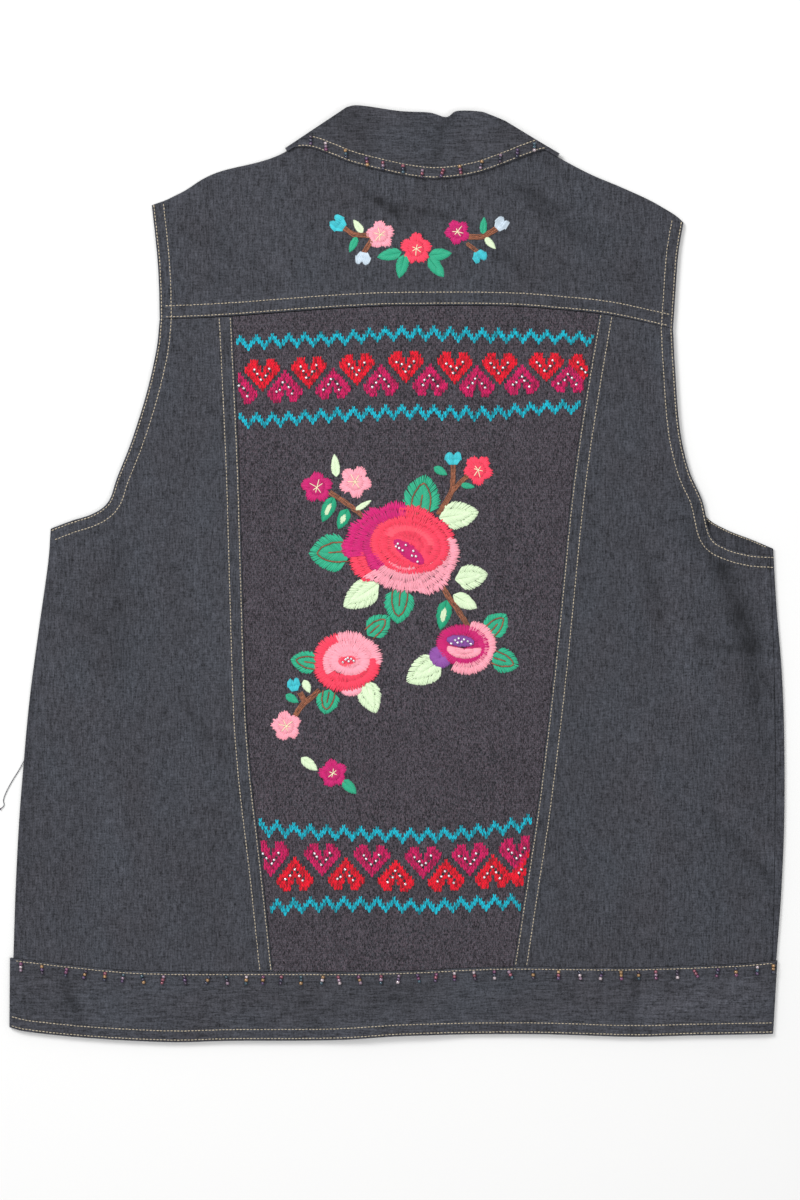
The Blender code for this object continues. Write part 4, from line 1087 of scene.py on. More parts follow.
class Recipe:
    """A material and the nodes that make it."""

    def __init__(self, name, roughness, sheen=0.0, coat=0.0, gloss=0.5):
        self.material = bpy.data.materials.new(name)
        self.material.use_nodes = True
        self.tree = self.material.node_tree
        self.shader = self.tree.nodes["Principled BSDF"]
        self.shader.inputs["Roughness"].default_value = roughness
        self.shader.inputs["Sheen Weight"].default_value = sheen
        self.shader.inputs["Coat Weight"].default_value = coat
        self.shader.inputs["Specular IOR Level"].default_value = gloss

    def node(self, kind, settings=None, inputs=None):
        made = self.tree.nodes.new(kind)
        for key, value in (settings or {}).items():
            setattr(made, key, value)
        for key, value in (inputs or {}).items():
            self.feed(made.inputs[key], value)
        return made

    def feed(self, socket, value):
        if isinstance(value, Sum):
            self.tree.links.new(value.socket, socket)
        elif isinstance(value, bpy.types.NodeSocket):
            self.tree.links.new(value, socket)
        else:
            socket.default_value = value

    def maths(self, operation, *values):
        settings = {"operation": operation}
        made = self.node("ShaderNodeMath", settings, dict(enumerate(values)))
        return Sum(self, made.outputs[0])

    def vector(self, operation, *values):
        made = self.node("ShaderNodeVectorMath", {"operation": operation}, dict(enumerate(values)))
        return made.outputs[0]

    def place(self, scale):
        """Where the surface is, in the garment's own frame, times these scales."""
        made = self.node("ShaderNodeTexCoord")
        return self.vector("MULTIPLY", made.outputs["Object"], scale)

    def parts(self, vector):
        made = self.node("ShaderNodeSeparateXYZ", None, {0: vector})
        return [Sum(self, socket) for socket in made.outputs]

    def noise(self, vector, detail=2.0, roughness=0.5, scale=1.0):
        inputs = {"Vector": vector, "Scale": scale, "Detail": detail, "Roughness": roughness}
        made = self.node("ShaderNodeTexNoise", {"normalize": True}, inputs)
        return Sum(self, made.outputs[0])

    def clamp(self, value, low, high, to_low=0.0, to_high=1.0):
        inputs = {"Value": value, 1: low, 2: high, 3: to_low, 4: to_high}
        made = self.node("ShaderNodeMapRange", {"clamp": True}, inputs)
        return Sum(self, made.outputs[0])

    def mix(self, share, first, second):
        """A colour between two colours."""
        made = self.node("ShaderNodeMix", {"data_type": "RGBA"}, {0: share, 6: first, 7: second})
        return made.outputs[2]

    def tint(self, colour, amount):
        """A colour made lighter or darker by a value."""
        joined = self.node("ShaderNodeCombineXYZ", None, {0: amount, 1: amount, 2: amount})
        return self.vector("MULTIPLY", colour, joined.outputs[0])

    def bump(self, height, depth, strength=1.0):
        """Relief from a height of 0 to 1, this deep in metres."""
        made = self.node("ShaderNodeBump", None, {"Strength": strength, "Distance": depth, "Height": height})
        self.feed(self.shader.inputs["Normal"], made.outputs[0])

    def colour(self, value):
        self.feed(self.shader.inputs["Base Color"], value)

    def roughness(self, value):
        self.feed(self.shader.inputs["Roughness"], value)


def denim_material(name, colour, upright=True):
    """Washed black denim: fine uneven grain, soft mottling, and the painted shade and light of its creases
    and ridges, partly rubbing wear, that each piece carries.
    """
    recipe = Recipe(name, 0.92, sheen=0.04, gloss=0.25)

    def grained(along_grain, across_grain, depth):
        scale = (across_grain, along_grain, depth) if upright else (along_grain, across_grain, depth)
        return recipe.place(scale)

    slub = recipe.noise(grained(110, 860, 500), 3.0, 0.66)
    weft = recipe.noise(grained(820, 170, 500), 2.0, 0.6)
    speck = recipe.noise(grained(820, 960, 900), 1.0, 0.5)
    mottle = recipe.noise(grained(16, 24, 20), 3.0, 0.6)
    streak = recipe.noise(grained(10, 150, 60), 2.0, 0.5)
    x, y, _ = recipe.parts(recipe.place((1, 1, 1)))
    twill = recipe.maths("SINE", (x * 5200 + y * 3400) if upright else (x * 3400 + y * 5200))
    # Attribute from the cloth: painted shade in creases and on shaded sides of folds, painted light on
    # ridges, partly rubbing wear
    shade_light_and_wear = Sum(recipe, recipe.node("ShaderNodeAttribute", {"attribute_name": "shade_light_and_wear"}).outputs["Fac"])
    tone = 1.0 + (slub - 0.5) * 2.4 + (weft - 0.5) * 1.2 + (speck - 0.5) * 1.6 + twill * 0.05
    tone = tone * (1.0 + (mottle - 0.5) * 0.36 + (streak - 0.5) * 0.3) * (1.0 + shade_light_and_wear)
    tone = recipe.clamp(tone, 0.3, 2.4, 0.3, 2.4)
    cool = (colour[0] * 0.90, colour[1] * 1.0, colour[2] * 1.03, 1)
    shade = recipe.mix(mottle, (colour[0] * 1.08, colour[1], colour[2] * 0.98, 1), cool)
    recipe.colour(recipe.tint(shade, tone))
    recipe.roughness(recipe.clamp(slub, 0.3, 0.7, 0.96, 0.86))
    recipe.bump(slub * 0.5 + weft * 0.3 + twill * 0.12 + speck * 0.15, 0.00045, 0.8)
    return recipe.material


def knit_material(name, colour):
    """Fine charcoal heather knit: upright columns of small slanted loops, flecked with lighter fibres."""
    recipe = Recipe(name, 0.96, sheen=0.05, gloss=0.25)
    x, y, _ = recipe.parts(recipe.place((1, 1, 1)))
    column = x * (1 / KNIT_COLUMN)
    share = recipe.maths("FRACT", column)
    slant = recipe.maths("ABSOLUTE", share - 0.5) * 1.1
    course = y * (1 / KNIT_ROW) - slant
    loop = recipe.maths("SINE", course * (2 * math.pi)) * 0.5 + 0.5
    leg = recipe.maths("SINE", share * (2 * math.pi) - 0.5 * math.pi) * 0.5 + 0.5
    row = recipe.maths("FLOOR", course)
    side = recipe.maths("FLOOR", column * 2)
    cell = recipe.node("ShaderNodeCombineXYZ", None, {0: side, 1: row, 2: 0.0}).outputs[0]
    chance = recipe.node("ShaderNodeTexWhiteNoise", {"noise_dimensions": "2D"}, {"Vector": cell})
    heather = Sum(recipe, chance.outputs["Value"])
    fibre = recipe.noise(recipe.place((960, 760, 900)), 3.0, 0.7)
    fleck = recipe.noise(recipe.place((1050, 1050, 1050)), 1.0, 0.5)
    mottle = recipe.noise(recipe.place((60, 50, 60)), 3.0, 0.55)
    barre = recipe.noise(recipe.place((260, 14, 60)), 2.0, 0.5)
    # The loops' height profile (loop, leg) also tints the colour: painted shade between the loops, painted
    # light on their crowns
    tone = 0.92 + (heather - 0.5) * 1.1 + (fibre - 0.5) * 2.3 + (fleck - 0.5) * 1.9 + (loop - 0.5) * 0.25
    tone = tone * (1.0 + (mottle - 0.5) * 0.4 + (barre - 0.5) * 0.35) + leg * 0.12
    tone = recipe.clamp(tone, 0.22, 2.8, 0.22, 2.8)
    cool = (colour[0] * 0.90, colour[1] * 1.0, colour[2] * 1.04, 1)
    warm = (colour[0] * 1.12, colour[1] * 0.96, colour[2] * 1.02, 1)
    shade = recipe.mix(recipe.clamp(fleck, 0.35, 0.65), cool, warm)
    recipe.colour(recipe.tint(shade, tone))
    recipe.roughness(recipe.clamp(fibre, 0.3, 0.7, 0.98, 0.9))
    recipe.bump(loop * leg * 0.6 + fibre * 0.4, 0.0005, 0.9)
    return recipe.material


def thread_material(name, roughness, sheen):
    """Stranded thread in the colour that each stitch carries, with its twist."""
    recipe = Recipe(name, roughness, sheen=sheen, gloss=0.35)
    carried = recipe.node("ShaderNodeAttribute", {"attribute_name": "thread"}).outputs["Color"]
    ply = recipe.node("ShaderNodeAttribute", {"attribute_name": "ply"}).outputs["Vector"]
    run, side, up = recipe.parts(ply)
    turn = run * (2 * math.pi / 0.9)
    twist = recipe.maths("SINE", turn) * side + recipe.maths("COSINE", turn) * up
    fibre = recipe.noise(recipe.place((2400, 2400, 2400)), 2.0, 0.6)
    # The twist also tints the colour: painted shade in the grooves between the plies, painted light on their
    # crowns
    tone = 1.0 + twist * 0.06 + (fibre - 0.5) * 0.3
    recipe.colour(recipe.tint(carried, tone))
    recipe.roughness(recipe.clamp(fibre, 0.3, 0.7, roughness - 0.06, roughness + 0.08))
    recipe.bump(twist * 0.35 + fibre * 0.4, 0.00012, 0.6)
    return recipe.material


def bead_material(name, roughness, metallic):
    """Small glass or silvered beads, each in its own colour."""
    recipe = Recipe(name, roughness, coat=0.6)
    recipe.shader.inputs["Metallic"].default_value = metallic
    recipe.shader.inputs["IOR"].default_value = 1.52
    carried = recipe.node("ShaderNodeAttribute", {"attribute_name": "thread"}).outputs["Color"]
    cloud = recipe.noise(recipe.place((900, 900, 900)), 2.0, 0.5)
    recipe.colour(recipe.tint(carried, 0.85 + cloud * 0.3))
    recipe.roughness(recipe.clamp(cloud, 0.3, 0.7, roughness, roughness + 0.1))
    return recipe.material


def floor_material(name, colour):
    """Matte white paper."""
    recipe = Recipe(name, 0.8)
    soft = recipe.noise(recipe.place((3, 3, 3)), 2.0, 0.5)
    grain = recipe.noise(recipe.place((900, 900, 900)), 2.0, 0.5)
    recipe.colour(recipe.tint(colour, 0.99 + soft * 0.01 + grain * 0.01))
    recipe.bump(grain, 0.0001, 0.1)
    return recipe.material


# Threads and beads


RING_SHARES = np.array((0.0, 0.14, 0.5, 0.86, 1.0))
RING_WIDTHS = np.array((0.3, 0.86, 1.0, 0.86, 0.3))
RING_RISES = np.array((-0.75, 0.35, 0.8, 0.35, -0.75))


def linear(colour):
    """An sRGB colour of 0 to 255 as the linear values that a shader takes."""
    share = np.array(colour, float) / 255
    return np.where(share <= 0.04045, share / 12.92, ((share + 0.055) / 1.055) ** 2.4)


class Threads:
    """Stitches gathered up, then made as one mesh."""

    def __init__(self, seed, height, sides=4, jitter=0.07):
        self.random = np.random.default_rng(seed)
        self.height = height
        self.sides = sides
        self.jitter = jitter
        self.rows = []

    def add(self, starts, ends, width, thick, lift, colour):
        """Straight stitches between points in plan. lift is how far their undersides stand off the cloth."""
        starts = np.atleast_2d(np.array(starts, float))
        ends = np.atleast_2d(np.array(ends, float))
        count = len(starts)
        tones = linear(colour) * (1 + self.jitter * self.random.standard_normal((count, 1)))
        row = np.empty((count, 10))
        row[:, 0:2] = starts
        row[:, 2:4] = ends
        row[:, 4] = width
        row[:, 5] = thick
        row[:, 6] = lift
        row[:, 7:10] = np.clip(tones, 0, 1)
        self.rows.append(row)

    def mesh(self, name, material):
        rows = np.concatenate(self.rows)
        start, end = rows[:, 0:2], rows[:, 2:4]
        step = end - start
        length = np.maximum(np.hypot(*step.T), 1e-6)
        forward = step / length[:, None]
        left = np.stack([-forward[:, 1], forward[:, 0]], axis=1)
        shares = RING_SHARES
        plan = start[:, None] + step[:, None] * shares[None, :, None]
        base = blocks(self.height, plan)
        thick = rows[:, 5, None]
        centre = base + rows[:, 6, None] + thick * RING_RISES
        angles = 2 * np.pi * np.arange(self.sides) / self.sides + np.pi / 2
        half = rows[:, 4, None] / 2 * RING_WIDTHS
        across = half[..., None] * np.cos(angles)
        up = (thick / 2 * (0.5 + 0.5 * RING_WIDTHS))[..., None] * np.sin(angles)
        points = np.empty(plan.shape[:2] + (self.sides, 3))
        points[..., :2] = plan[:, :, None] + left[:, None, None] * across[..., None]
        points[..., 2] = centre[..., None] + up
        points = points.reshape(-1, 3)
        rings, sides, count = len(shares), self.sides, len(rows)
        ring, side = np.meshgrid(np.arange(rings - 1), np.arange(sides), indexing="ij")
        after = (side + 1) % sides
        here, there = ring * sides, (ring + 1) * sides
        quads = np.stack([here + side, here + after, there + after, there + side], axis=-1).reshape(-1, 4)
        offsets = np.arange(count) * rings * sides
        quads = (quads[None] + offsets[:, None, None]).reshape(-1, 4)
        first = np.arange(sides)[::-1]
        last = np.arange(sides) + (rings - 1) * sides
        caps = [cap[None] + offsets[:, None] for cap in (first, last)]
        faces = quads[:, ::-1].tolist() + np.concatenate(caps)[:, ::-1].tolist()
        data = smooth_mesh(name, (points * MM).tolist(), faces)
        colour = data.attributes.new("thread", "FLOAT_COLOR", "POINT")
        tones = np.ones((count, rings * sides, 4))
        tones[..., :3] = rows[:, None, 7:10]
        colour.data.foreach_set("color", tones.ravel())
        ply = data.attributes.new("ply", "FLOAT_VECTOR", "POINT")
        twist = np.empty((count, rings, sides, 3))
        twist[..., 0] = (length[:, None] * shares)[..., None]
        twist[..., 1] = np.cos(angles)
        twist[..., 2] = np.sin(angles)
        ply.data.foreach_set("vector", twist.ravel())
        data.materials.append(material)
        return put(name, data)


def inset(path, depth):
    """The path moved to its left by this depth, without the loops that tight bends would make."""
    step = np.gradient(path, axis=0)
    length = np.maximum(np.hypot(*step.T), 1e-9)
    left = np.stack([-step[:, 1], step[:, 0]], axis=1) / length[:, None]
    moved = path + left * depth
    return moved[distance(moved, path) > abs(depth) * 0.96]


def spaced(path, pitch):
    """Points along a path, this far apart."""
    steps = np.hypot(*np.diff(path, axis=0).T)
    count = max(2, int(round(steps.sum() / pitch)))
    return along(path, np.linspace(0, 1, count + 1))


def sew(threads, path, pitch, width, colour, lift, cover=0.78):
    """A row of topstitching along a path."""
    knots = spaced(path, pitch)
    step = knots[1:] - knots[:-1]
    wander = threads.random.normal(0, 0.06, (len(step), 2))
    start = knots[:-1] + step * (1 - cover) / 2 + wander
    end = knots[1:] - step * (1 - cover) / 2 + wander
    width = width * threads.random.uniform(0.85, 1.15, len(step))
    threads.add(start, end, width, 0.34, lift, colour)


# Thread colours, sRGB 0 to 1
THREAD_COLOURS = {
    "magenta": (0.84, 0.06, 0.46),
    "deep_magenta": (0.79, 0.04, 0.43),
    "coral": (0.975, 0.25, 0.37),
    "light_coral": (0.99, 0.34, 0.42),
    "pink": (0.99, 0.655, 0.72),
    "jade": (0.15, 0.69, 0.53),
    "deep_jade": (0.06, 0.65, 0.48),
    "pale_leaf": (0.86, 0.94, 0.79),
    "brown": (0.56, 0.34, 0.24),
    "sky": (0.24, 0.76, 0.81),
    "ice": (0.78, 0.84, 0.89),
    "purple": (0.56, 0.30, 0.64),
    "cream": (0.99, 0.92, 0.78),
    "zigzag": (0.02, 0.75, 0.84),
    "red": (0.96, 0.0, 0.17),
    "heart_magenta": (0.84, 0.04, 0.39),
}

# Small blossoms: middle x, y, radius, petals, turn in degrees, colour
BLOSSOMS = (
    (-60, 65, 12.2, 5, 20, "deep_magenta"),
    (-31.5, 69, 12.6, 5, 62, "pink"),
    (60.8, 78, 11.8, 5, 54, "coral"),
    (-83, -114, 11.8, 5, 100, "pink"),
    (-48, -149.5, 11.2, 5, 30, "deep_magenta"),
    (-12.5, 253.8, 11.2, 5, 95, "pink"),
    (14.4, 243.4, 12.2, 5, 90, "coral"),
    (45.2, 256, 9.8, 5, 115, "deep_magenta"),
)
# Leaves: base x, y, tip x, y, width, kind
LEAVES = (
    (-45.5, 72.8, -47, 90, 7, "pale"),
    (-47.4, 57.9, -56, 38.8, 10.5, "cored"),
    (-36.9, 48.8, -44, 33.5, 10, "cored"),
    (-31.1, 47.9, -19.2, 55.1, 4.3, "pale"),
    (-34, 16.8, -66.5, 15.4, 29, "veined"),
    (16.2, 42, 21.5, 74.7, 28, "veined"),
    (27.7, 80, 37.7, 74.2, 6.5, "green"),
    (47.8, 67, 58.3, 65.1, 5, "green"),
    (31.5, 42, 61.5, 46.5, 21, "pale"),
    (43.4, -4.2, 68.4, 0, 19, "pale"),
    (-13.4, -6.6, -40.2, -24.8, 21, "pale"),
    (2.8, -9.5, 0.4, -37.5, 23, "veined"),
    (42, -15.7, 60.2, -25.8, 12, "pale"),
    (37.3, -19.5, 32.5, -42, 12, "cored"),
    (67.5, -46, 82, -29.9, 19, "veined"),
    (70.6, -61.6, 91.5, -69.2, 19, "veined"),
    (33.6, -64.5, 7, -80.9, 22, "pale"),
    (-22.2, -46, -5.3, -31.5, 18, "veined"),
    (-57.9, -67.8, -80, -64, 17.5, "veined"),
    (-50.6, -86.5, -54.3, -105.4, 18, "veined"),
    (-25, -79.5, -15.7, -104.5, 18, "pale"),
    (-69.8, -79.5, -65.3, -89.3, 6.5, "pale"),
    (-83.4, -90.5, -73.7, -96.4, 6.5, "green"),
    (-71.8, -137.7, -59.5, -147.4, 8, "pale"),
    (-40.7, -154.5, -30.4, -164.8, 8.5, "green"),
    (-25.6, 255.4, -32.6, 265.4, 6, "pale"),
    (-30, 252.4, -35.6, 240.9, 6, "green"),
    (3.5, 240.8, -15, 237, 9.5, "green"),
    (6, 239.3, 1.5, 221.3, 10, "green"),
    (23.7, 238.5, 41.2, 240, 9.5, "green"),
    (23.6, 236.8, 35.2, 222.2, 10, "green"),
    (64.3, 254.4, 65.3, 267.4, 5.8, "green"),
    (65.9, 252, 73.9, 243.4, 5.5, "pale"),
)
# Stems: points, width
STEMS = (
    (((-50.3, 61.3), (-40.2, 54.6), (-30, 47), (-21, 39)), 3.6),
    (((31, 44.8), (35.5, 52), (41, 62), (42, 71), (42, 81.5)), 3.8),
    (((41, 61.5), (47, 68), (53.5, 74)), 3.4),
    (((33.3, -8), (38, -16), (44, -24.8), (53.6, -39.3)), 4.0),
    (((-58.1, -87.3), (-64, -92.6), (-70.4, -97.5), (-76.3, -106.1)), 4.2),
    (((-69, -96), (-72.4, -89)), 4.4),
    (((-39.6, 259.2), (-32.1, 254.4), (-20, 253.4)), 3.6),
    (((-18.5, 250.4), (-21.5, 246), (-24.6, 240.4)), 3.6),
    (((53.8, 252.4), (63.3, 252.4), (68, 254.5), (74.6, 258.8)), 4.2),
    (((52.3, 247.4), (60.3, 241.4)), 3.2),
)
# Buds: base x, y, direction in degrees, length, width, colour
BUDS = (
    (42, 81, 90, 10.5, 13, "sky"),
    (-76.5, -88.6, 100, 10.5, 10, "sky"),
    (-38.6, 258.6, 145, 12.5, 13, "sky"),
    (-24.6, 242, 262, 10.5, 12, "ice"),
    (74.3, 257.4, 52, 11.5, 10.5, "ice"),
    (59.8, 242.6, 295, 9.5, 11.5, "sky"),
)
# Rose petals: middle x, y, half width, half height, tilt, from, to in degrees, inner and outer share, lobes,
# layer, colour. Less than no lobes is a straight edge
ROSE_PETALS = (
    (5, 17.5, 42, 36, 0, 182, 226, 0.5, 1.0, 1, 0, "coral"),
    (3, 18, 43, 35.5, 0, 84, 190, 0.3, 1.04, 4, 1, "magenta"),
    (3, 18, 43, 35.5, 0, 8, 92, 0.4, 0.98, 2, 1, "coral"),
    (7, 17.5, 41, 36.5, 0, -72, -28, 0.42, 1.03, 1, 2, "pink"),
    (7, 17.5, 41, 36.5, 0, -34, 18, 0.45, 0.98, 1, 2, "pink"),
    (7, 17.5, 41, 36.5, 0, 214, 294, 0.28, 1.0, -1, 3, "pink"),
    (5, 18, 41, 35, 0, 188, 222, 0.38, 0.74, 1, 4, "magenta"),
    (9.5, 21.5, 30, 22, -8, 0, 360, 0.12, 1.0, 0, 5, "coral"),
    (9, 23.5, 20, 13, -14, 10, 175, 0.5, 1.05, 0, 6, "light_coral"),
    (9.5, 17, 17.5, 10, -30, 0, 360, 0.0, 1.0, 0, 6, "coral"),
    (51, -54.5, 24.5, 21.5, 0, -118, 78, 0.45, 1.0, 2, 0, "pink"),
    (32.3, -62.4, 9.2, 7.8, -40, 0, 360, 0.0, 1.0, 0, 0, "purple"),
    (49.5, -53.5, 20.5, 15.8, -6, 0, 360, 0.12, 1.0, 0, 1, "deep_magenta"),
    (50.4, -56.4, 13.5, 7.4, -4, 166, 374, 0.0, 1.0, 0, 3, "pink"),
    (-34.3, -86.5, 8.5, 5.5, 0, 0, 360, 0.0, 1.0, 0, 0, "pink"),
    (-37, -66.3, 27, 24, 0, 96, 262, 0.4, 1.0, 2, 1, "coral"),
    (-37, -66.3, 27, 24, 0, -6, 112, 0.4, 1.0, 2, 2, "pink"),
    (-37, -66.3, 26.5, 23, 0, -118, 10, 0.3, 0.94, 2, 3, "coral"),
    (-37, -66.3, 27, 24, 0, 84, 214, 0.3, 0.70, 0, 4, "pink"),
    (-35.5, -64.2, 16, 12.5, -8, 0, 360, 0.0, 1.0, 0, 5, "pink"),
    (-36.5, -64.8, 8.5, 5.2, 8, 0, 360, 0.0, 1.0, 0, 6, "light_coral"),
)
# Rose hearts, filled with straight stitches: middle x, y, half width, half height, tilt, stitch direction,
# colour
ROSE_HEARTS = (
    (9, 16.5, 14, 6.3, -38, 52, "deep_magenta"),
    (47.5, -50.2, 10.5, 4.6, -6, 80, "purple"),
    (-36.5, -64.5, 5.5, 3.6, 8, 80, "coral"),
)
ROSE_LIFT = 0.5
HEART_LAYER = 10.5
# Beads in the roses' hearts
HEART_BEADS = (
    (0.6, 22.6), (6.6, 21.6), (1.6, 19.4), (4.2, 17.6), (12.2, 17.2), (11.2, 13.6), (14.2, 13.2), (15.4, 9.2),
    (-0.8, 20.6), (40.6, -52), (43.5, -49.6), (46.2, -48.2), (48.4, -50.8), (50.2, -49), (53, -50.4),
    (55.4, -52.4), (45.4, -51.4), (-40.6, -66), (-38.4, -64), (-36.2, -65.4), (-34.4, -63.6), (-32.4, -65),
    (-36.8, -62.8),
)
# Colours of the glass beads, sRGB 0 to 1, most of them dark with a lustre
BEAD_COLOURS = (
    (0.46, 0.27, 0.40), (0.24, 0.33, 0.38), (0.64, 0.50, 0.34), (0.56, 0.47, 0.54), (0.24, 0.20, 0.27),
    (0.54, 0.30, 0.36), (0.33, 0.25, 0.38), (0.22, 0.23, 0.30), (0.74, 0.68, 0.70),
)


def turned(angle):
    """The direction at this angle in degrees."""
    return np.array((math.cos(math.radians(angle)), math.sin(math.radians(angle))))


def ways_at(angle):
    """The directions at these angles in radians, one in each row."""
    return np.stack([np.cos(angle), np.sin(angle)], axis=1)


def left_of(way):
    """The direction a quarter turn to the left of this one."""
    return np.array((-way[1], way[0]))


def shaded(colour, shade):
    """A colour for each stitch, each with its own shade."""
    return np.clip(colour * shade[:, None], 0, 255)


def shade_of(name):
    """The colour of one of the threads, sRGB 0 to 255."""
    return 255 * np.array(getattr(bpy.context.scene.vest_threads, name))


# Satin stitches: their drawn width as a share of the strand's, their spacing as a share of it on a petal, a
# blossom and an oval, and about how long one row of a petal's stitches is
STRAND_SPREAD = 1.1
PETAL_SPACING = 0.84
BLOSSOM_SPACING = 0.86
OVAL_SPACING = 0.75
PETAL_ROW_LENGTH = 6.5
# Each row of a petal's stitches stands over the next one out by this much
PETAL_ROW_RISE = 0.10
STAMENS = 6
STAMEN_WIDTH = 0.75
STAMEN_THICKNESS = 0.45


def strand_size():
    """Width, thickness and rise of a layer of the embroidery thread, in mm."""
    group = bpy.context.scene.vest_embroidery
    return group.width / MM, group.thickness / MM, group.rise / MM


def petal(threads, x, y, half_width, half_height, tilt, first, last, inner, outer, lobes, layer, colour):
    """Long and short stitches fanned over a stretch of an oval ring."""
    random = threads.random
    width, thick, step = strand_size()
    colour = shade_of(colour)
    turns = math.radians(last - first)
    reach = (half_width + half_height) / 2
    rows = max(1, int(round((outer - inner) * reach / PETAL_ROW_LENGTH)))
    shares = np.linspace(inner, outer, rows + 1)
    spin = turned(tilt)
    across = left_of(spin)
    for row in range(rows):
        low, high = shares[row], shares[row + 1]
        count = max(3, int(abs(turns) * reach * high / (width * PETAL_SPACING)))
        share = (np.arange(count) + random.uniform(-0.2, 0.2, count) + 0.5) / count
        angle = math.radians(first) + turns * share
        edge = np.full(count, high)
        if row == rows - 1:
            edge = edge * (1 + random.uniform(-0.03, 0.03, count))
            if lobes < 0:
                edge = edge * math.cos(turns / 2) / np.cos(turns * (share - 0.5))
            elif lobes:
                edge = edge * (0.91 + 0.09 * np.abs(np.sin(math.pi * lobes * share)) ** 0.6)
        else:
            edge = edge + random.uniform(0.0, 0.35, count) * (high - low)
        start = low - random.uniform(0.0, 0.30, count) * (high - low) * (row > 0)
        start = start + (random.uniform(-0.012, 0.03, count) if row == 0 else 0)
        start = np.maximum(start, 0.0)
        lean = random.normal(0, 0.012, count)

        def spot(radius, angle):
            oval = ways_at(angle) * (half_width, half_height) * radius[:, None]
            return np.array((x, y)) + oval[:, :1] * spin + oval[:, 1:] * across

        shade = 1.0 - 0.025 * (rows - 1 - row) + random.normal(0, 0.012, count)
        tone = shaded(colour, shade)
        lift = ROSE_LIFT + layer * step + PETAL_ROW_RISE * (rows - 1 - row)
        starts, ends = spot(start, angle - lean), spot(edge, angle + lean)
        threads.add(starts, ends, width * STRAND_SPREAD, thick, lift, tone)


def satin_oval(threads, x, y, half_width, half_height, tilt, direction, colour, layer):
    """Side-by-side straight stitches over an oval."""
    width, thick, step = strand_size()
    colour = shade_of(colour)
    spin = turned(tilt)
    across = left_of(spin)
    way = turned(direction)
    side = left_of(way)
    reach = max(half_width, half_height)
    for offset in np.arange(-reach, reach, width * OVAL_SPACING):
        centre = side * offset
        centre_in_oval = np.array((centre @ spin / half_width, centre @ across / half_height))
        way_in_oval = np.array((way @ spin / half_width, way @ across / half_height))
        a = way_in_oval @ way_in_oval
        b = centre_in_oval @ way_in_oval
        inside_root = b * b - a * (centre_in_oval @ centre_in_oval - 1)
        if inside_root <= 0:
            continue
        root = math.sqrt(inside_root)
        start = np.array((x, y)) + centre + way * (-b - root) / a
        end = np.array((x, y)) + centre + way * (-b + root) / a
        wobble = threads.random.uniform(-0.4, 0.4, (2, 1)) * way
        threads.add(start + wobble[0], end + wobble[1], width * STRAND_SPREAD, thick, layer * step, colour)


def blossom(threads, x, y, radius, petals, turn, colour):
    """A small flower of radial stitches with a few stamens."""
    random = threads.random
    width, thick, step = strand_size()
    colour = shade_of(colour)
    middle = np.array((x, y))
    for low, high, layer in ((0.38, 1.0, 0), (0.04, 0.56, 1)):
        count = int(2 * math.pi * radius * high / (width * BLOSSOM_SPACING))
        angle = 2 * math.pi * (np.arange(count) + random.uniform(-0.25, 0.25, count)) / count
        shape = 0.68 + 0.32 * np.abs(np.cos(petals * (angle - math.radians(turn)) / 2)) ** 0.7
        far = radius * (shape if high == 1.0 else high) * (1 + random.uniform(-0.08, 0.08, count))
        near = radius * low * (1 + random.uniform(-0.3, 0.3, count))
        way = ways_at(angle)
        shade = (1.0 if high == 1.0 else 0.95) + random.normal(0, 0.015, count)
        tone = shaded(colour, shade)
        starts, ends = middle + way * near[:, None], middle + way * far[:, None]
        threads.add(starts, ends, width * STRAND_SPREAD, thick, layer * step, tone)
    spots = (np.arange(STAMENS) + random.uniform(-0.3, 0.3, STAMENS)) / STAMENS
    angle = 2 * math.pi * spots + math.radians(turn)
    way = ways_at(angle)
    ends = middle + way * (radius * random.uniform(0.28, 0.58, STAMENS))[:, None]
    threads.add(middle - way * 0.5, ends, STAMEN_WIDTH, STAMEN_THICKNESS, 3.2 * step, shade_of("cream"))


MIDRIB_OVERLAP = 0.35


def leaf_width(share):
    """Half width of a leaf, as a share of its widest, along its length."""
    return np.clip(np.sin(np.pi * np.clip(share, 0, 1) ** 0.84), 0, 1) ** 0.66


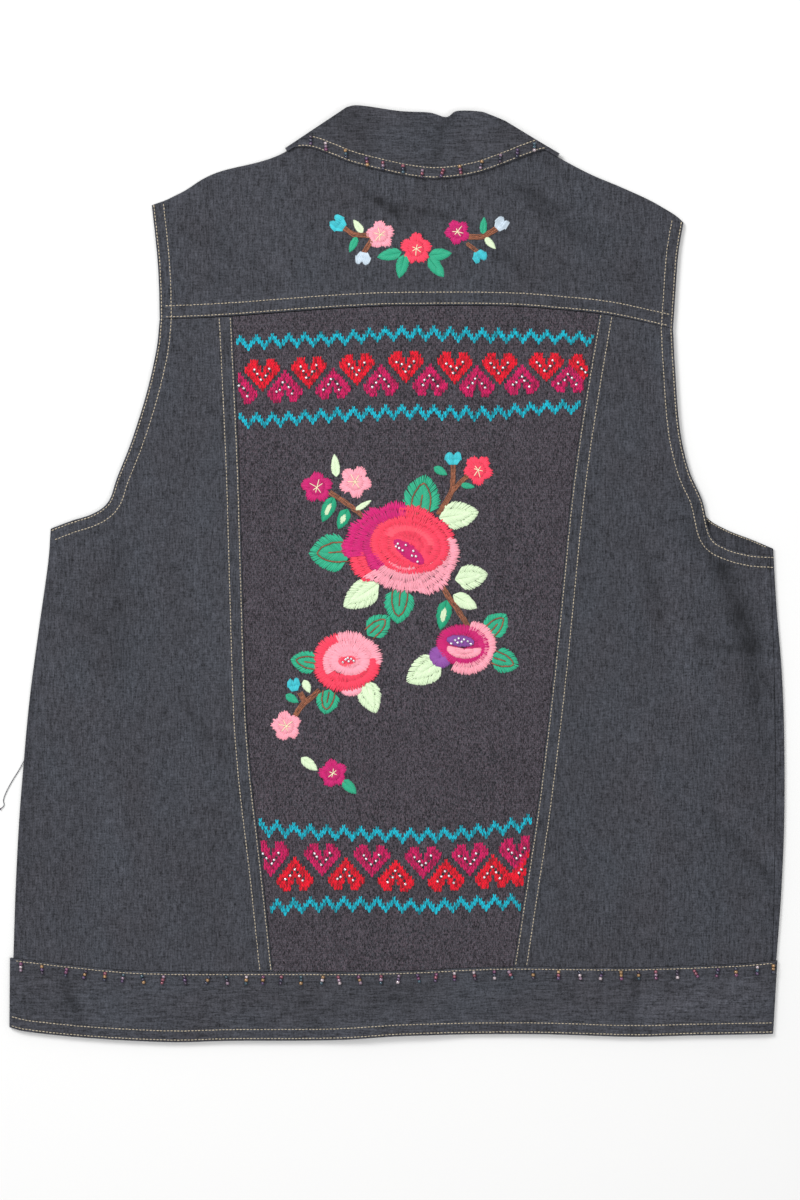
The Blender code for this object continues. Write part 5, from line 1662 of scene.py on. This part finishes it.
def leaf(threads, base_x, base_y, tip_x, tip_y, width, kind):
    """A leaf of slanted stitches on both sides of its midrib."""
    random = threads.random
    strand, thick, _ = strand_size()
    base, tip = np.array((base_x, base_y), float), np.array((tip_x, tip_y), float)
    length = np.hypot(*(tip - base))
    way = (tip - base) / length
    side = left_of(way)
    colour = shade_of({"pale": "pale_leaf", "green": "jade", "cored": "deep_jade", "veined": "jade"}[kind])
    half = width / 2
    slant = min(0.30, 0.75 * half / length)
    rows = 2 if half > 8 else 1
    count = int(length * 1.25 / (strand * 0.80))
    for hand in (-1, 1):
        for row in range(rows):
            share = (np.arange(count) + random.uniform(-0.2, 0.2, count) + 0.5) / count
            near = share * 0.90 - slant * 0.4
            far = np.minimum(near + slant * 1.1 + 0.06, 1.0)
            edge = half * leaf_width(far) * (1 + random.uniform(-0.10, 0.06, count))
            inner_share, outer_share = (0.0, 1.0) if rows == 1 else ((0.0, 0.58), (0.5, 1.0))[row]
            inner_share = inner_share + random.uniform(-0.06, 0.06, count) * (row > 0)
            outer = outer_share
            if rows == 2 and row == 0:
                outer = outer_share * (1 + random.uniform(-0.08, 0.08, count))
            near = np.clip(near, 0.0, 0.97)
            start_run = (near + (far - near) * inner_share) * length
            start_side = edge * inner_share * hand - MIDRIB_OVERLAP * hand * (row == 0)
            end_run = (near + (far - near) * outer) * length
            end_side = edge * outer * hand
            start = base + way * start_run[:, None] + side * start_side[:, None]
            end = base + way * end_run[:, None] + side * end_side[:, None]
            shade = 1.0 + random.normal(0, 0.015, count) - (0.05 if row == 0 and kind != "pale" else 0)
            tone = shaded(colour, shade)
            threads.add(start, end, strand * 1.12, thick, 0.08 * (rows - 1 - row), tone)
    if kind == "cored":
        middle = base + way * length * 0.5
        angle = math.degrees(math.atan2(way[1], way[0]))
        satin_oval(threads, *middle, length * 0.27, width * 0.17, angle, angle, "pale_leaf", 2)
    if kind == "veined":
        loop = np.linspace(0.08, 0.80, 9)
        wide = half * 0.52 * np.sqrt(np.clip((0.80 - loop) / 0.5, 0, 1)) * 1.1
        wide = np.minimum(wide, half * 0.5)
        for hand in (-1, 1):
            path = base + way * (loop * length)[:, None] + side * (wide * hand)[:, None]
            stem(threads, path, 1.2, 2)
        stem(threads, np.array([base + way * length * 0.12, base + way * length * 0.52]), 1.2, 2)


def stem(threads, path, width, layer=0):
    """Overlapping stitches in a few lines along a path."""
    _, thick, step = strand_size()
    brown = shade_of("brown")
    path = np.array(path, float)
    path = smooth_path(path) if len(path) > 2 else path
    lines = max(1, int(round(width / 0.95)))
    for line in range(lines):
        depth = (line - (lines - 1) / 2) * width / lines
        row = inset(path, depth) if abs(depth) > 0.01 and len(path) > 2 else shifted(path, 0, 0)
        if len(path) == 2 and abs(depth) > 0.01:
            way = (path[1] - path[0]) / np.hypot(*(path[1] - path[0]))
            row = path + left_of(way) * depth
        if len(row) < 2:
            continue
        knots = spaced(row, 2.6)
        run = knots[1:] - knots[:-1]
        tone = brown * (1 + threads.random.uniform(-0.16, 0.16, len(run)))[:, None]
        slip = threads.random.normal(0, 0.14, run.shape)
        start, end = knots[:-1] - run * 0.25 + slip, knots[1:] + run * 0.25 + slip
        threads.add(start, end, min(1.15, width / lines * 1.25), thick, layer * step, tone)


def bud(threads, x, y, direction, length, width, colour):
    """A closed bud: a fan of stitches from its base to a notched top."""
    strand, thick, _ = strand_size()
    colour = shade_of(colour)
    way = turned(direction)
    side = left_of(way)
    count = max(6, int(width * 1.3 / strand))
    share = (np.arange(count) + 0.5) / count * 2 - 1
    top = length * (0.76 + 0.26 * np.abs(np.sin(math.pi * (share * 0.9 + 0.08))) ** 0.7)
    top = top * (1 + threads.random.uniform(-0.04, 0.04, count))
    far = np.array((x, y)) + way * top[:, None] + side * (share * width * 0.42)[:, None]
    belly = np.array((x, y)) + way * (length * 0.45) + side * (share * width * 0.5)[:, None]
    near = np.array((x, y)) + way * (length * 0.05) + side * (share * width * 0.2)[:, None]
    shade = np.clip(colour * (1 + threads.random.normal(0, 0.04, count))[:, None], 0, 255)
    threads.add(near, belly + (far - belly) * 0.2, strand * 1.15, thick, 0.05, shade)
    threads.add(belly - (far - belly) * 0.15, far, strand * 1.15, thick, 0.15, shade)


# Charts of the knitted-on bands, one letter for each stitch
HEART_CHART = (
    "..XXX...XXX..",
    ".XXXX...XXXX.",
    "XXXXXX.XXXXXX",
    "XXX.XX.XX.XXX",
    ".XXX.XXX.XXX.",
    "..XXX.X.XXX..",
    "...XXX.XXX...",
    "....XXXXX....",
    ".....XXX.....",
    "......X......",
)
ZIGZAG_STEPS = (0, 1, 2, 3, 2, 1)
HEART_BEAD_SPOTS = ((-6.7, 4.1), (-3.7, 1.5), (-0.7, -3.0), (2.6, 0.4), (5.6, 4.9))
# Each band: guide curves of its two zigzags, rows between them, column pitch, x of a peak, hearts as
# (x of the middles, row of the middle, whether the tip is down, colour)
BANDS = (
    (
        ((-123, 172.5), (-84.75, 174.7), (-46.5, 176.2), (1.5, 180), (65, 178.5), (107, 177.7), (152, 175.5)),
        (
            (-120, 114.5), (-90, 115.5), (-60, 118), (-37, 119.5), (10, 121), (65, 120), (97, 123),
            (118, 125), (140, 124.5),
        ),
        25.0,
        2.0167,
        -117.5,
        (
            ((-101, -66, -30, 6.75, 43.5, 77, 112, 142), 10.7, True, "red"),
            ((-118, -84, -48, -12, 24.75, 60, 93.75, 129), 14.6, False, "heart_magenta"),
        ),
    ),
    (
        ((-108, -190), (-67.5, -193.5), (-24, -195), (12, -196.5), (47, -195), (76.5, -191), (104, -186)),
        (
            (-104, -252), (-96, -251), (-54, -248), (-9.75, -248), (19, -249.5), (47, -248), (76.5, -246.7),
            (98, -246),
        ),
        22.5,
        2.09,
        -102.5,
        (
            ((-94.5, -56, -18.75, 19.5, 54.75, 90), 8.6, True, "heart_magenta"),
            ((-76.5, -38, -0.75, 36.75, 72, 98), 12.9, False, "red"),
        ),
    ),
)


def on_panel(points):
    """Whether points lie on the knit panel, clear of its seams."""
    left = np.interp(points[:, 1], left_panel_seam[:, 1], left_panel_seam[:, 0])
    right = np.interp(points[:, 1], right_panel_seam[:, 1], right_panel_seam[:, 0])
    return (points[:, 0] > left + 1.6) & (points[:, 0] < right - 1.6)


# Width and thickness of the wool of the bands
WOOL_SIZE = (1.16, 0.62)


def knit_stitches(threads, points, pitch, row_height, colour):
    """V-shaped stitches centred on these points."""
    points = points[on_panel(points)]
    random = threads.random
    points = points + random.normal(0, 0.12, points.shape)
    for hand in (-1, 1):
        foot = points + np.array((0.08 * pitch * hand, -0.62 * row_height))
        head = points + np.array((0.44 * pitch * hand, 0.86 * row_height))
        head[:, 1] += random.uniform(-0.25, 0.3, len(points))
        tone = colour * (1 - 0.42 * random.uniform(0, 1, len(points)) ** 2.5)[:, None]
        threads.add(foot, head, *WOOL_SIZE, 0.0, tone)


def knitted_bands(zigzags, reds, magentas, bead_rows):
    """Zigzags and rows of hearts across the knit panel."""
    silver = bpy.context.scene.vest_beads.silver_size / MM
    silver_colour = 255 * np.array(bpy.context.scene.vest_beads.silver)
    for upper, lower, rows, pitch, peak, hearts in BANDS:
        upper = smooth_path(upper)
        lower = smooth_path(lower)

        def height(x, row):
            high = np.interp(x, upper[:, 0], upper[:, 1])
            low = np.interp(x, lower[:, 0], lower[:, 1])
            return high + (low - high) * row / rows, (high - low) / rows

        low_x, high_x = upper[0, 0], upper[-1, 0]
        columns = np.arange(math.floor((low_x - peak) / pitch), math.ceil((high_x - peak) / pitch) + 1)
        x = peak + columns * pitch
        offset = np.array(ZIGZAG_STEPS)[columns % 6]
        for line in (0, rows):
            for thick in (0, 1):
                y, tall = height(x, line + offset - 2.0 + thick)
                knit_stitches(zigzags, np.stack([x, y], axis=1), pitch, tall.mean(), shade_of("zigzag"))
        for middles, middle_row, tip_down, colour in hearts:
            threads = reds if colour == "red" else magentas
            for middle in middles:
                found = []
                tall = 1.0
                for number, line in enumerate(HEART_CHART):
                    row = middle_row + (number - 4.5) * (1 if tip_down else -1)
                    for place, mark in enumerate(line):
                        if mark == "X":
                            at = middle + (place - 6) * pitch
                            y, tall = height(at, row)
                            found.append((at, float(y)))
                knit_stitches(threads, np.array(found), pitch, float(tall), shade_of(colour))
                beads = np.array(HEART_BEAD_SPOTS) * (1, 1 if tip_down else -1)
                beads = beads + threads.random.normal(0, 0.55, beads.shape)
                y, tall = height(middle, middle_row)
                beads = beads + (middle, float(y))
                for spot in beads[on_panel(beads)]:
                    bead_rows.append((*spot, silver / 2, threads.random.uniform(0, 180), 1.25, silver_colour))


# Points round a bead and round its wall, and its wall and half its length as shares of its radius
BEAD_POINTS = (12, 8)
BEAD_WALL = 0.40
BEAD_HALF_LENGTH = 0.82


def bead_mesh(name, rows, height, material, seed):
    """Small rings: each row is x, y, radius, the direction of the hole in degrees, the height of the bead's
    middle over the cloth, and colour."""
    random = np.random.default_rng(seed)
    around, rings = BEAD_POINTS
    theta = 2 * np.pi * np.arange(around) / around
    phi = 2 * np.pi * np.arange(rings) / rings
    spots = np.array([row[:2] for row in rows], float)
    base = blocks(height, spots)
    points, tones = [], []
    for (x, y, radius, direction, rise, colour), ground in zip(rows, base):
        thick = radius * BEAD_WALL
        long = radius * BEAD_HALF_LENGTH
        ring = radius - thick
        axis = np.array((*turned(direction), random.normal(0, 0.12)))
        axis /= np.linalg.norm(axis)
        first = np.cross(axis, (0, 0, 1.0))
        first /= np.linalg.norm(first)
        second = np.cross(axis, first)
        radial = np.cos(theta)[:, None] * first + np.sin(theta)[:, None] * second
        offset = (ring + thick * np.cos(phi))[None, :, None] * radial[:, None, :]
        offset = offset + (long * np.sin(phi))[None, :, None] * axis
        points.append((np.array((x, y, ground + rise)) + offset).reshape(-1, 3))
        tone = np.ones((around * rings, 4))
        tone[:, :3] = np.clip(linear(colour) * (1 + random.normal(0, 0.08)), 0, 1)
        tones.append(tone)
    i, j = np.meshgrid(np.arange(around), np.arange(rings), indexing="ij")
    here, there, after = i * rings, ((i + 1) % around) * rings, (j + 1) % rings
    quads = np.stack([here + j, there + j, there + after, here + after], axis=-1).reshape(-1, 4)
    offsets = np.arange(len(rows)) * around * rings
    faces = (quads[None] + offsets[:, None, None]).reshape(-1, 4)
    points = np.concatenate(points) * MM
    data = smooth_mesh(name, points.tolist(), facing_out(points, faces).tolist())
    attribute = data.attributes.new("thread", "FLOAT_COLOR", "POINT")
    attribute.data.foreach_set("color", np.concatenate(tones).ravel())
    data.materials.append(material)
    return put(name, data)


# Middles of the drops of beads on the collar, and their x along the waistband
COLLAR_DROPS = (
    (-64.5, 324.5), (-53.3, 320), (-38.3, 314.5), (-22.5, 308.5), (-10.5, 305.5), (4.5, 303), (18.8, 299.5),
    (33.8, 300), (47.3, 302.5), (63, 306.3), (77.3, 311), (90, 315), (102.8, 319.5),
)
BAND_DROPS = (
    -282, -266, -248, -234, -219, -205.5, -190.5, -175.5, -159, -142, -127.5, -113, -100.5, -87, -72, -56,
    -43.5, -28, -12, 1, 16, 29, 43, 58, 73, 85, 102, 121, 137, 153, 168, 181, 194, 210, 224, 240, 254, 270,
    282,
)


def drop_rows(random, spots):
    """Three beads threaded in a short line at each spot."""
    size = bpy.context.scene.vest_beads.glass_size / MM
    rows = []
    for x, y in spots:
        tilt = 90 + random.normal(0, 11)
        way = turned(tilt) * size * 0.88
        for number in (-1, 0, 1):
            colour = 255 * np.array(BEAD_COLOURS[random.integers(len(BEAD_COLOURS))])
            radius = size / 2 * random.uniform(0.92, 1.08)
            rows.append((x + way[0] * number, y + way[1] * number, radius, tilt, size / 2 - 0.1, colour))
    return rows


ROW_RUN_ON = 16.0
HOLE_RUN_ON = 3.0


def panel_row(seam, side, depth):
    """A row beside a panel seam, between the waistband and the yoke."""
    first, last = seam[0] - seam[1], seam[-1] - seam[-2]
    first, last = first / np.hypot(*first), last / np.hypot(*last)
    longer = np.vstack([seam[0] + first * ROW_RUN_ON, seam, seam[-1] + last * ROW_RUN_ON])
    row = spaced(inset(longer, side * depth), 0.5)
    top = np.interp(row[:, 0], yoke_seam[:, 0], yoke_seam[:, 1])
    low = np.interp(row[:, 0], band_seam[:, 0], band_seam[:, 1])
    return row[(row[:, 1] < top - 0.8) & (row[:, 1] > low + 1.0)]


def within(path, axis, low, high):
    return path[(path[:, axis] > low) & (path[:, axis] < high)]


# Spacing of the armholes' rows as a share of the seams' rows, and where the collar's rows lie: depth, low x,
# high x
ARMHOLE_SPACING = 0.88
COLLAR_ROWS = ((1.1, -76, 111), (8.2, -67, 104.5))


def topstitch_pieces():
    """Twin-needle rows beside every seam, and the waistband's and collar's own rows."""
    sewing = bpy.context.scene.vest_sewing
    pitch = sewing.pitch / MM
    width = sewing.width / MM
    near = sewing.inset / MM
    apart = sewing.spacing / MM
    colour = tuple(255 * c for c in sewing.colour)
    material = thread_material("topstitch_thread", 0.62, 0.2)
    made = []

    back = Threads(11, back_height, sides=5, jitter=0.09)
    left_hole = np.vstack([left_armhole, left_armhole_top[1:]])
    outward = right_armhole[0] - right_armhole[1]
    outward = outward / np.hypot(*outward) * HOLE_RUN_ON
    right_hole = np.vstack([right_armhole[0] + outward, right_armhole, right_armhole_top[1:]])
    rows = [inset(yoke_seam, SEAM_ROWS[0]), inset(yoke_seam, SEAM_ROWS[0] + apart)]
    rows = [row[(row[:, 0] > -177) & (row[:, 0] < 206)] for row in rows]
    for seam, side in ((left_panel_seam, 1), (right_panel_seam, -1)):
        rows += [panel_row(seam, side, SEAM_ROWS[0]), panel_row(seam, side, SEAM_ROWS[0] + apart)]
    rows += [inset(left_hole, -near), inset(left_hole, -near - apart * ARMHOLE_SPACING)]
    rows += [inset(right_hole, near), inset(right_hole, near + apart * ARMHOLE_SPACING)]
    for row in rows:
        sew(back, row, pitch, width, colour, LAP_RAISE)
    made.append(back.mesh("topstitch_back", material))

    band = Threads(12, band_height, sides=5, jitter=0.09)
    top = inset(band_seam, -1.8)
    sew(band, within(top, 0, -288, 283), pitch, width, colour, 0)
    for depth in (1.7, 8.5):
        row = within(spaced(inset(hem, depth), 0.5), 0, -289.5, 281.5)
        sew(band, row, pitch, width, colour, HEM_RAISE)
    made.append(band.mesh("topstitch_waistband", material))

    collar = Threads(13, collar_height, sides=5, jitter=0.09)
    edge = smooth_path(COLLAR_EDGE)
    for depth, low, high in COLLAR_ROWS:
        row = within(inset(edge, depth), 0, low, high)
        sew(collar, row, pitch, width, colour, COLLAR_LAP_RAISE)
    made.append(collar.mesh("topstitch_collar", material))

    def inside_front(points):
        return front_height(points, False) + WALL

    facing = Threads(14, inside_front, sides=5, jitter=0.09)
    row = inset(smooth_path(FRONT_RIGHT_ARMHOLE), near * 0.6)
    sew(facing, within(row, 1, 20, 180), pitch * 0.8, width, colour, 0)
    made.append(facing.mesh("topstitch_right_armhole_inside", material))
    for piece in made:
        finish_piece(piece)


def finish_piece(piece, node=None):
    """Fixes a piece to the garment, and hides the solid that it stands for."""
    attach(piece, "root")
    if node:
        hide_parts(node)
    return piece


def cloth_piece(piece, node, material):
    """A cloth piece that stands for its solid."""
    piece.data.materials.append(material)
    add_shade_light_and_wear(piece)
    finish_piece(piece, node)
    return piece


def length_setting(name, description, default):
    return bpy.props.FloatProperty(
        name=name, description=description, subtype="DISTANCE", unit="LENGTH", default=default
    )


def colour_setting(name, description, default, subtype="COLOR_GAMMA"):
    return bpy.props.FloatVectorProperty(
        name=name, description=description, subtype=subtype, size=3, default=default
    )


class VestCloth(bpy.types.PropertyGroup):
    denim: colour_setting("Denim", "Colour of the washed black denim", (0.0475, 0.0490, 0.0590), "COLOR")
    knit: colour_setting("Knit", "Colour of the heather knit", (0.0565, 0.0510, 0.0592), "COLOR")


class VestSewing(bpy.types.PropertyGroup):
    pitch: length_setting("Pitch", "Length of one topstitch with its gap", 0.0026)
    width: length_setting("Width", "Width of the topstitching thread", 0.00072)
    inset: length_setting("Inset", "Depth of the outer row from an armhole", 0.0016)
    spacing: length_setting("Spacing", "Distance between twin rows", 0.00825)
    colour: colour_setting("Colour", "Colour of the topstitching thread", (0.74, 0.69, 0.60))


class VestEmbroidery(bpy.types.PropertyGroup):
    width: length_setting("Width", "Width of a strand", 0.001)
    thickness: length_setting("Thickness", "Thickness of a strand", 0.0005)
    rise: length_setting("Rise", "How far each layer of stitches stands over the one below", 0.0002)


class VestThreads(bpy.types.PropertyGroup):
    """The colour of each embroidery thread"""

    __annotations__ = {
        name: colour_setting(name.replace("_", " ").capitalize(), "Colour of this thread", colour)
        for name, colour in THREAD_COLOURS.items()
    }


class VestBeads(bpy.types.PropertyGroup):
    glass_size: length_setting("Glass beads", "Diameter of the beads on the collar and the waistband", 0.0027)
    silver_size: length_setting("Silvered beads", "Diameter of the beads on the hearts and the roses", 0.0021)
    silver: colour_setting("Silver", "Colour of the silvered beads", (0.91, 0.91, 0.93))


class VestStage(bpy.types.PropertyGroup):
    camera_height: length_setting("Camera height", "Height of the camera over the surface", 2.204)
    key: bpy.props.FloatProperty(
        name="Key light", description="Power of the large light at the upper left", unit="POWER", default=36.0
    )
    fill: bpy.props.FloatProperty(
        name="Fill light", description="Power of the light overhead", unit="POWER", default=26.0
    )
    sky: bpy.props.FloatProperty(
        name="Surrounding light", description="Strength of the light all round", default=0.46
    )


class VEST_OT_denim_back(bpy.types.Operator):
    """Makes the yoke and the two side panels of the back"""

    bl_idname = "vest.denim_back"
    bl_label = "Denim back pieces"

    def execute(self, context):
        denim = denim_material("washed_denim", context.scene.vest_cloth.denim)
        cloth_piece(
            yoke_piece(), "back_yoke", denim
        )
        cloth_piece(
            left_side_piece(), "back_side_left", denim
        )
        cloth_piece(
            right_side_piece(), "back_side_right", denim,
        )
        return {"FINISHED"}


class VEST_OT_knit_centre(bpy.types.Operator):
    """Makes the knit panel at the centre of the back"""

    bl_idname = "vest.knit_centre"
    bl_label = "Knit centre panel"

    def execute(self, context):
        knit = knit_material("heather_knit", context.scene.vest_cloth.knit)
        cloth_piece(
            centre_piece(), "back_centre_panel", knit,
        )
        return {"FINISHED"}


class VEST_OT_fronts(bpy.types.Operator):
    """Makes the two fronts, which lie underneath"""

    bl_idname = "vest.fronts"
    bl_label = "Fronts"

    def execute(self, context):
        denim = denim_material("washed_denim_front", context.scene.vest_cloth.denim)
        cloth_piece(
            left_front_piece(), "front_left", denim
        )
        cloth_piece(right_front_piece(), "front_right", denim)
        return {"FINISHED"}


class VEST_OT_waistband(bpy.types.Operator):
    """Makes the doubled waistband"""

    bl_idname = "vest.waistband"
    bl_label = "Waistband"

    def execute(self, context):
        denim = denim_material("washed_denim_band", context.scene.vest_cloth.denim, upright=False)
        cloth_piece(waistband_piece(), "waistband", denim)
        return {"FINISHED"}


class VEST_OT_collar(bpy.types.Operator):
    """Makes the fall and the stand of the collar"""

    bl_idname = "vest.collar"
    bl_label = "Collar"

    def execute(self, context):
        denim = denim_material("washed_denim_collar", context.scene.vest_cloth.denim, upright=False)
        cloth_piece(collar_leaf_piece(), "collar_leaf", denim)
        cloth_piece(
            collar_stand_piece(), "collar_stand", denim
        )
        return {"FINISHED"}


class VEST_OT_topstitching(bpy.types.Operator):
    """Sews the twin-needle rows beside the seams and edges"""

    bl_idname = "vest.topstitching"
    bl_label = "Topstitching"

    def execute(self, context):
        topstitch_pieces()
        return {"FINISHED"}


class VEST_OT_embroidery(bpy.types.Operator):
    """Embroiders the roses, blossoms, buds, leaves and stems"""

    bl_idname = "vest.embroidery"
    bl_label = "Embroidery"

    def execute(self, context):
        material = thread_material("embroidery_thread", 0.46, 0.15)
        roses = Threads(21, back_height, jitter=0.03)
        for row in ROSE_PETALS:
            petal(roses, *row)
        for x, y, half_width, half_height, tilt, direction, colour in ROSE_HEARTS:
            satin_oval(roses, x, y, half_width, half_height, tilt, direction, colour, HEART_LAYER)
        finish_piece(roses.mesh("embroidered_roses", material))
        leaves = Threads(22, back_height, jitter=0.03)
        for row in LEAVES:
            leaf(leaves, *row)
        finish_piece(leaves.mesh("embroidered_leaves", material))
        flowers = Threads(23, back_height, jitter=0.03)
        for path, width in STEMS:
            stem(flowers, path, width)
        for row in BUDS:
            bud(flowers, *row)
        for row in BLOSSOMS:
            blossom(flowers, *row)
        finish_piece(flowers.mesh("embroidered_blossoms", material))
        return {"FINISHED"}


class VEST_OT_bands_and_beads(bpy.types.Operator):
    """Knits the zigzags and hearts on the centre panel and sews on every bead"""

    bl_idname = "vest.bands_and_beads"
    bl_label = "Knitted bands and beads"

    def execute(self, context):
        wool = thread_material("band_wool", 0.75, 0.12)
        zigzags = Threads(31, back_height, sides=4, jitter=0.07)
        reds = Threads(32, back_height, sides=4, jitter=0.06)
        magentas = Threads(33, back_height, sides=4, jitter=0.09)
        silver_rows = []
        knitted_bands(zigzags, reds, magentas, silver_rows)
        finish_piece(zigzags.mesh("knitted_zigzags", wool))
        finish_piece(reds.mesh("knitted_red_hearts", wool))
        finish_piece(magentas.mesh("knitted_magenta_hearts", wool))
        silver = bead_material("silvered_beads", 0.16, 0.55)
        glass = bead_material("glass_beads", 0.16, 0.35)
        finish_piece(bead_mesh("heart_beads", silver_rows, back_height, silver, 41))
        random = np.random.default_rng(42)
        beads = context.scene.vest_beads
        radius, colour = beads.silver_size / MM / 2, 255 * np.array(beads.silver)
        rose_rows = [(x, y, radius, random.uniform(0, 180), ROSE_LIFT + 2.6, colour) for x, y in HEART_BEADS]
        finish_piece(bead_mesh("rose_beads", rose_rows, back_height, silver, 43))

        def on_collar(points):
            return collar_height(points) + COLLAR_LAP_RAISE

        collar_rows = drop_rows(random, COLLAR_DROPS)
        finish_piece(bead_mesh("collar_beads", collar_rows, on_collar, glass, 44))
        x = np.array(BAND_DROPS, float)
        y = np.interp(x, band_seam[:, 0], band_seam[:, 1]) - 5.8
        band_rows = drop_rows(random, np.stack([x, y], axis=1))
        finish_piece(bead_mesh("waistband_beads", band_rows, band_height, glass, 45))
        return {"FINISHED"}


# The loose thread, from where it leaves the side seam, and its radius
LOOSE_THREAD = (
    (-279.2, -138.5, 1.2), (-283.5, -146.5, 0.4), (-288.8, -155, 0.4), (-293.4, -163.5, 0.4),
    (-295.6, -169.6, 0.4), (-295.2, -173.8, 0.4), (-298, -176.6, 0.4),
)
LOOSE_THREAD_RADIUS = 0.28


class VEST_OT_loose_thread(bpy.types.Operator):
    """Lays the loose end of thread at the left side seam, with its knot"""

    bl_idname = "vest.loose_thread"
    bl_label = "Loose thread"

    def execute(self, context):
        path = smooth_path(LOOSE_THREAD, 6)
        data = bpy.data.curves.new("loose_thread", "CURVE")
        data.dimensions = "3D"
        data.bevel_depth = LOOSE_THREAD_RADIUS * MM
        data.bevel_resolution = 2
        data.use_fill_caps = True
        spline = data.splines.new("POLY")
        spline.points.add(len(path) - 1)
        spline.points.foreach_set("co", np.hstack([path * MM, np.ones((len(path), 1))]).ravel())
        data.materials.append(denim_material("loose_thread_fibre", context.scene.vest_cloth.denim))
        thread = put("loose_thread", data)
        finish_piece(thread)
        rows = [(*path[-1][:2], 0.75, 30, 0.7, (70, 66, 72)), (*path[-1][:2], 0.6, 120, 0.8, (60, 58, 64))]
        fibre = thread_material("loose_thread_knot", 0.8, 0.2)
        knot = bead_mesh("loose_thread_knot", rows, lambda points: np.zeros(len(points)), fibre, 51)
        finish_piece(knot)
        return {"FINISHED"}


# The stage, in metres: half the width of the surface, how far it lies under the garment, and the camera's
# place in plan. Its lens and sensor are in millimetres
SURFACE_HALF = 4.0
SURFACE_DROP = 0.0005
CAMERA_SPOT = (0.00225, -0.0195)
CAMERA_LENS = 88
CAMERA_SENSOR = 36
CAMERA_CLIP = 20
PAPER = (0.875, 0.875, 0.872)
# Each light's place and width, in metres
KEY_LIGHT = ((-1.1, 1.1, 1.9), 0.9)
OVERHEAD_LIGHT = ((0.5, -0.4, 2.6), 2.2)


class VEST_OT_stage(bpy.types.Operator):
    """Sets the white surface, the lights and the camera straight above"""

    bl_idname = "vest.stage"
    bl_label = "Surface, lights and camera"

    def execute(self, context):
        stage = context.scene.vest_stage
        side = SURFACE_HALF
        data = bpy.data.meshes.new("white_surface")
        corners = [(-side, -side), (side, -side), (side, side), (-side, side)]
        data.from_pydata([(x, y, -SURFACE_DROP) for x, y in corners], [], [(0, 1, 2, 3)])
        data.materials.append(floor_material("white_paper", PAPER))
        put("white_surface", data)
        area_light("key_light", *KEY_LIGHT, stage.key)
        area_light("overhead_light", *OVERHEAD_LIGHT, stage.fill)
        world = bpy.data.worlds.new("studio")
        world.use_nodes = True
        world.node_tree.nodes["Background"].inputs["Color"].default_value = (1, 1, 1, 1)
        world.node_tree.nodes["Background"].inputs["Strength"].default_value = stage.sky
        context.scene.world = world
        context.scene.view_settings.view_transform = "Standard"
        camera = put("camera", bpy.data.cameras.new("camera"))
        camera.data.lens = CAMERA_LENS
        camera.data.sensor_width = CAMERA_SENSOR
        camera.data.clip_end = CAMERA_CLIP
        camera.location = (*CAMERA_SPOT, stage.camera_height)
        context.scene.camera = camera
        return {"FINISHED"}


def area_light(name, place, size, power):
    """A square light that faces the middle of the garment."""
    data = bpy.data.lights.new(name, "AREA")
    data.size = size
    data.energy = power
    light = put(name, data)
    light.location = place
    x, y, z = place
    light.rotation_euler = (math.atan2(math.hypot(x, y), z), 0, math.atan2(x, -y))


class VEST_PT_panel(bpy.types.Panel):
    bl_label = "Embroidered vest"
    bl_idname = "VEST_PT_panel"
    bl_space_type = "VIEW_3D"
    bl_region_type = "UI"
    bl_category = "Vest"

    def draw(self, context):
        for operator in OPERATORS:
            self.layout.operator(operator.bl_idname)


OPERATORS = (
    VEST_OT_denim_back,
    VEST_OT_knit_centre,
    VEST_OT_fronts,
    VEST_OT_waistband,
    VEST_OT_collar,
    VEST_OT_topstitching,
    VEST_OT_embroidery,
    VEST_OT_bands_and_beads,
    VEST_OT_loose_thread,
    VEST_OT_stage,
)
GROUPS = {
    "vest_cloth": VestCloth,
    "vest_sewing": VestSewing,
    "vest_embroidery": VestEmbroidery,
    "vest_threads": VestThreads,
    "vest_beads": VestBeads,
    "vest_stage": VestStage,
}


def register():
    for group in GROUPS.values():
        bpy.utils.register_class(group)
    for operator in OPERATORS:
        bpy.utils.register_class(operator)
    bpy.utils.register_class(VEST_PT_panel)
    for name, group in GROUPS.items():
        setattr(bpy.types.Scene, name, bpy.props.PointerProperty(type=group))


def unregister():
    for name in GROUPS:
        delattr(bpy.types.Scene, name)
    bpy.utils.unregister_class(VEST_PT_panel)
    for operator in OPERATORS:
        bpy.utils.unregister_class(operator)
    for group in GROUPS.values():
        bpy.utils.unregister_class(group)


def main():
    register()
    for operator in OPERATORS:
        family, action = operator.bl_idname.split(".")
        getattr(getattr(bpy.ops, family), action)()


if __name__ == "__main__":
    main()
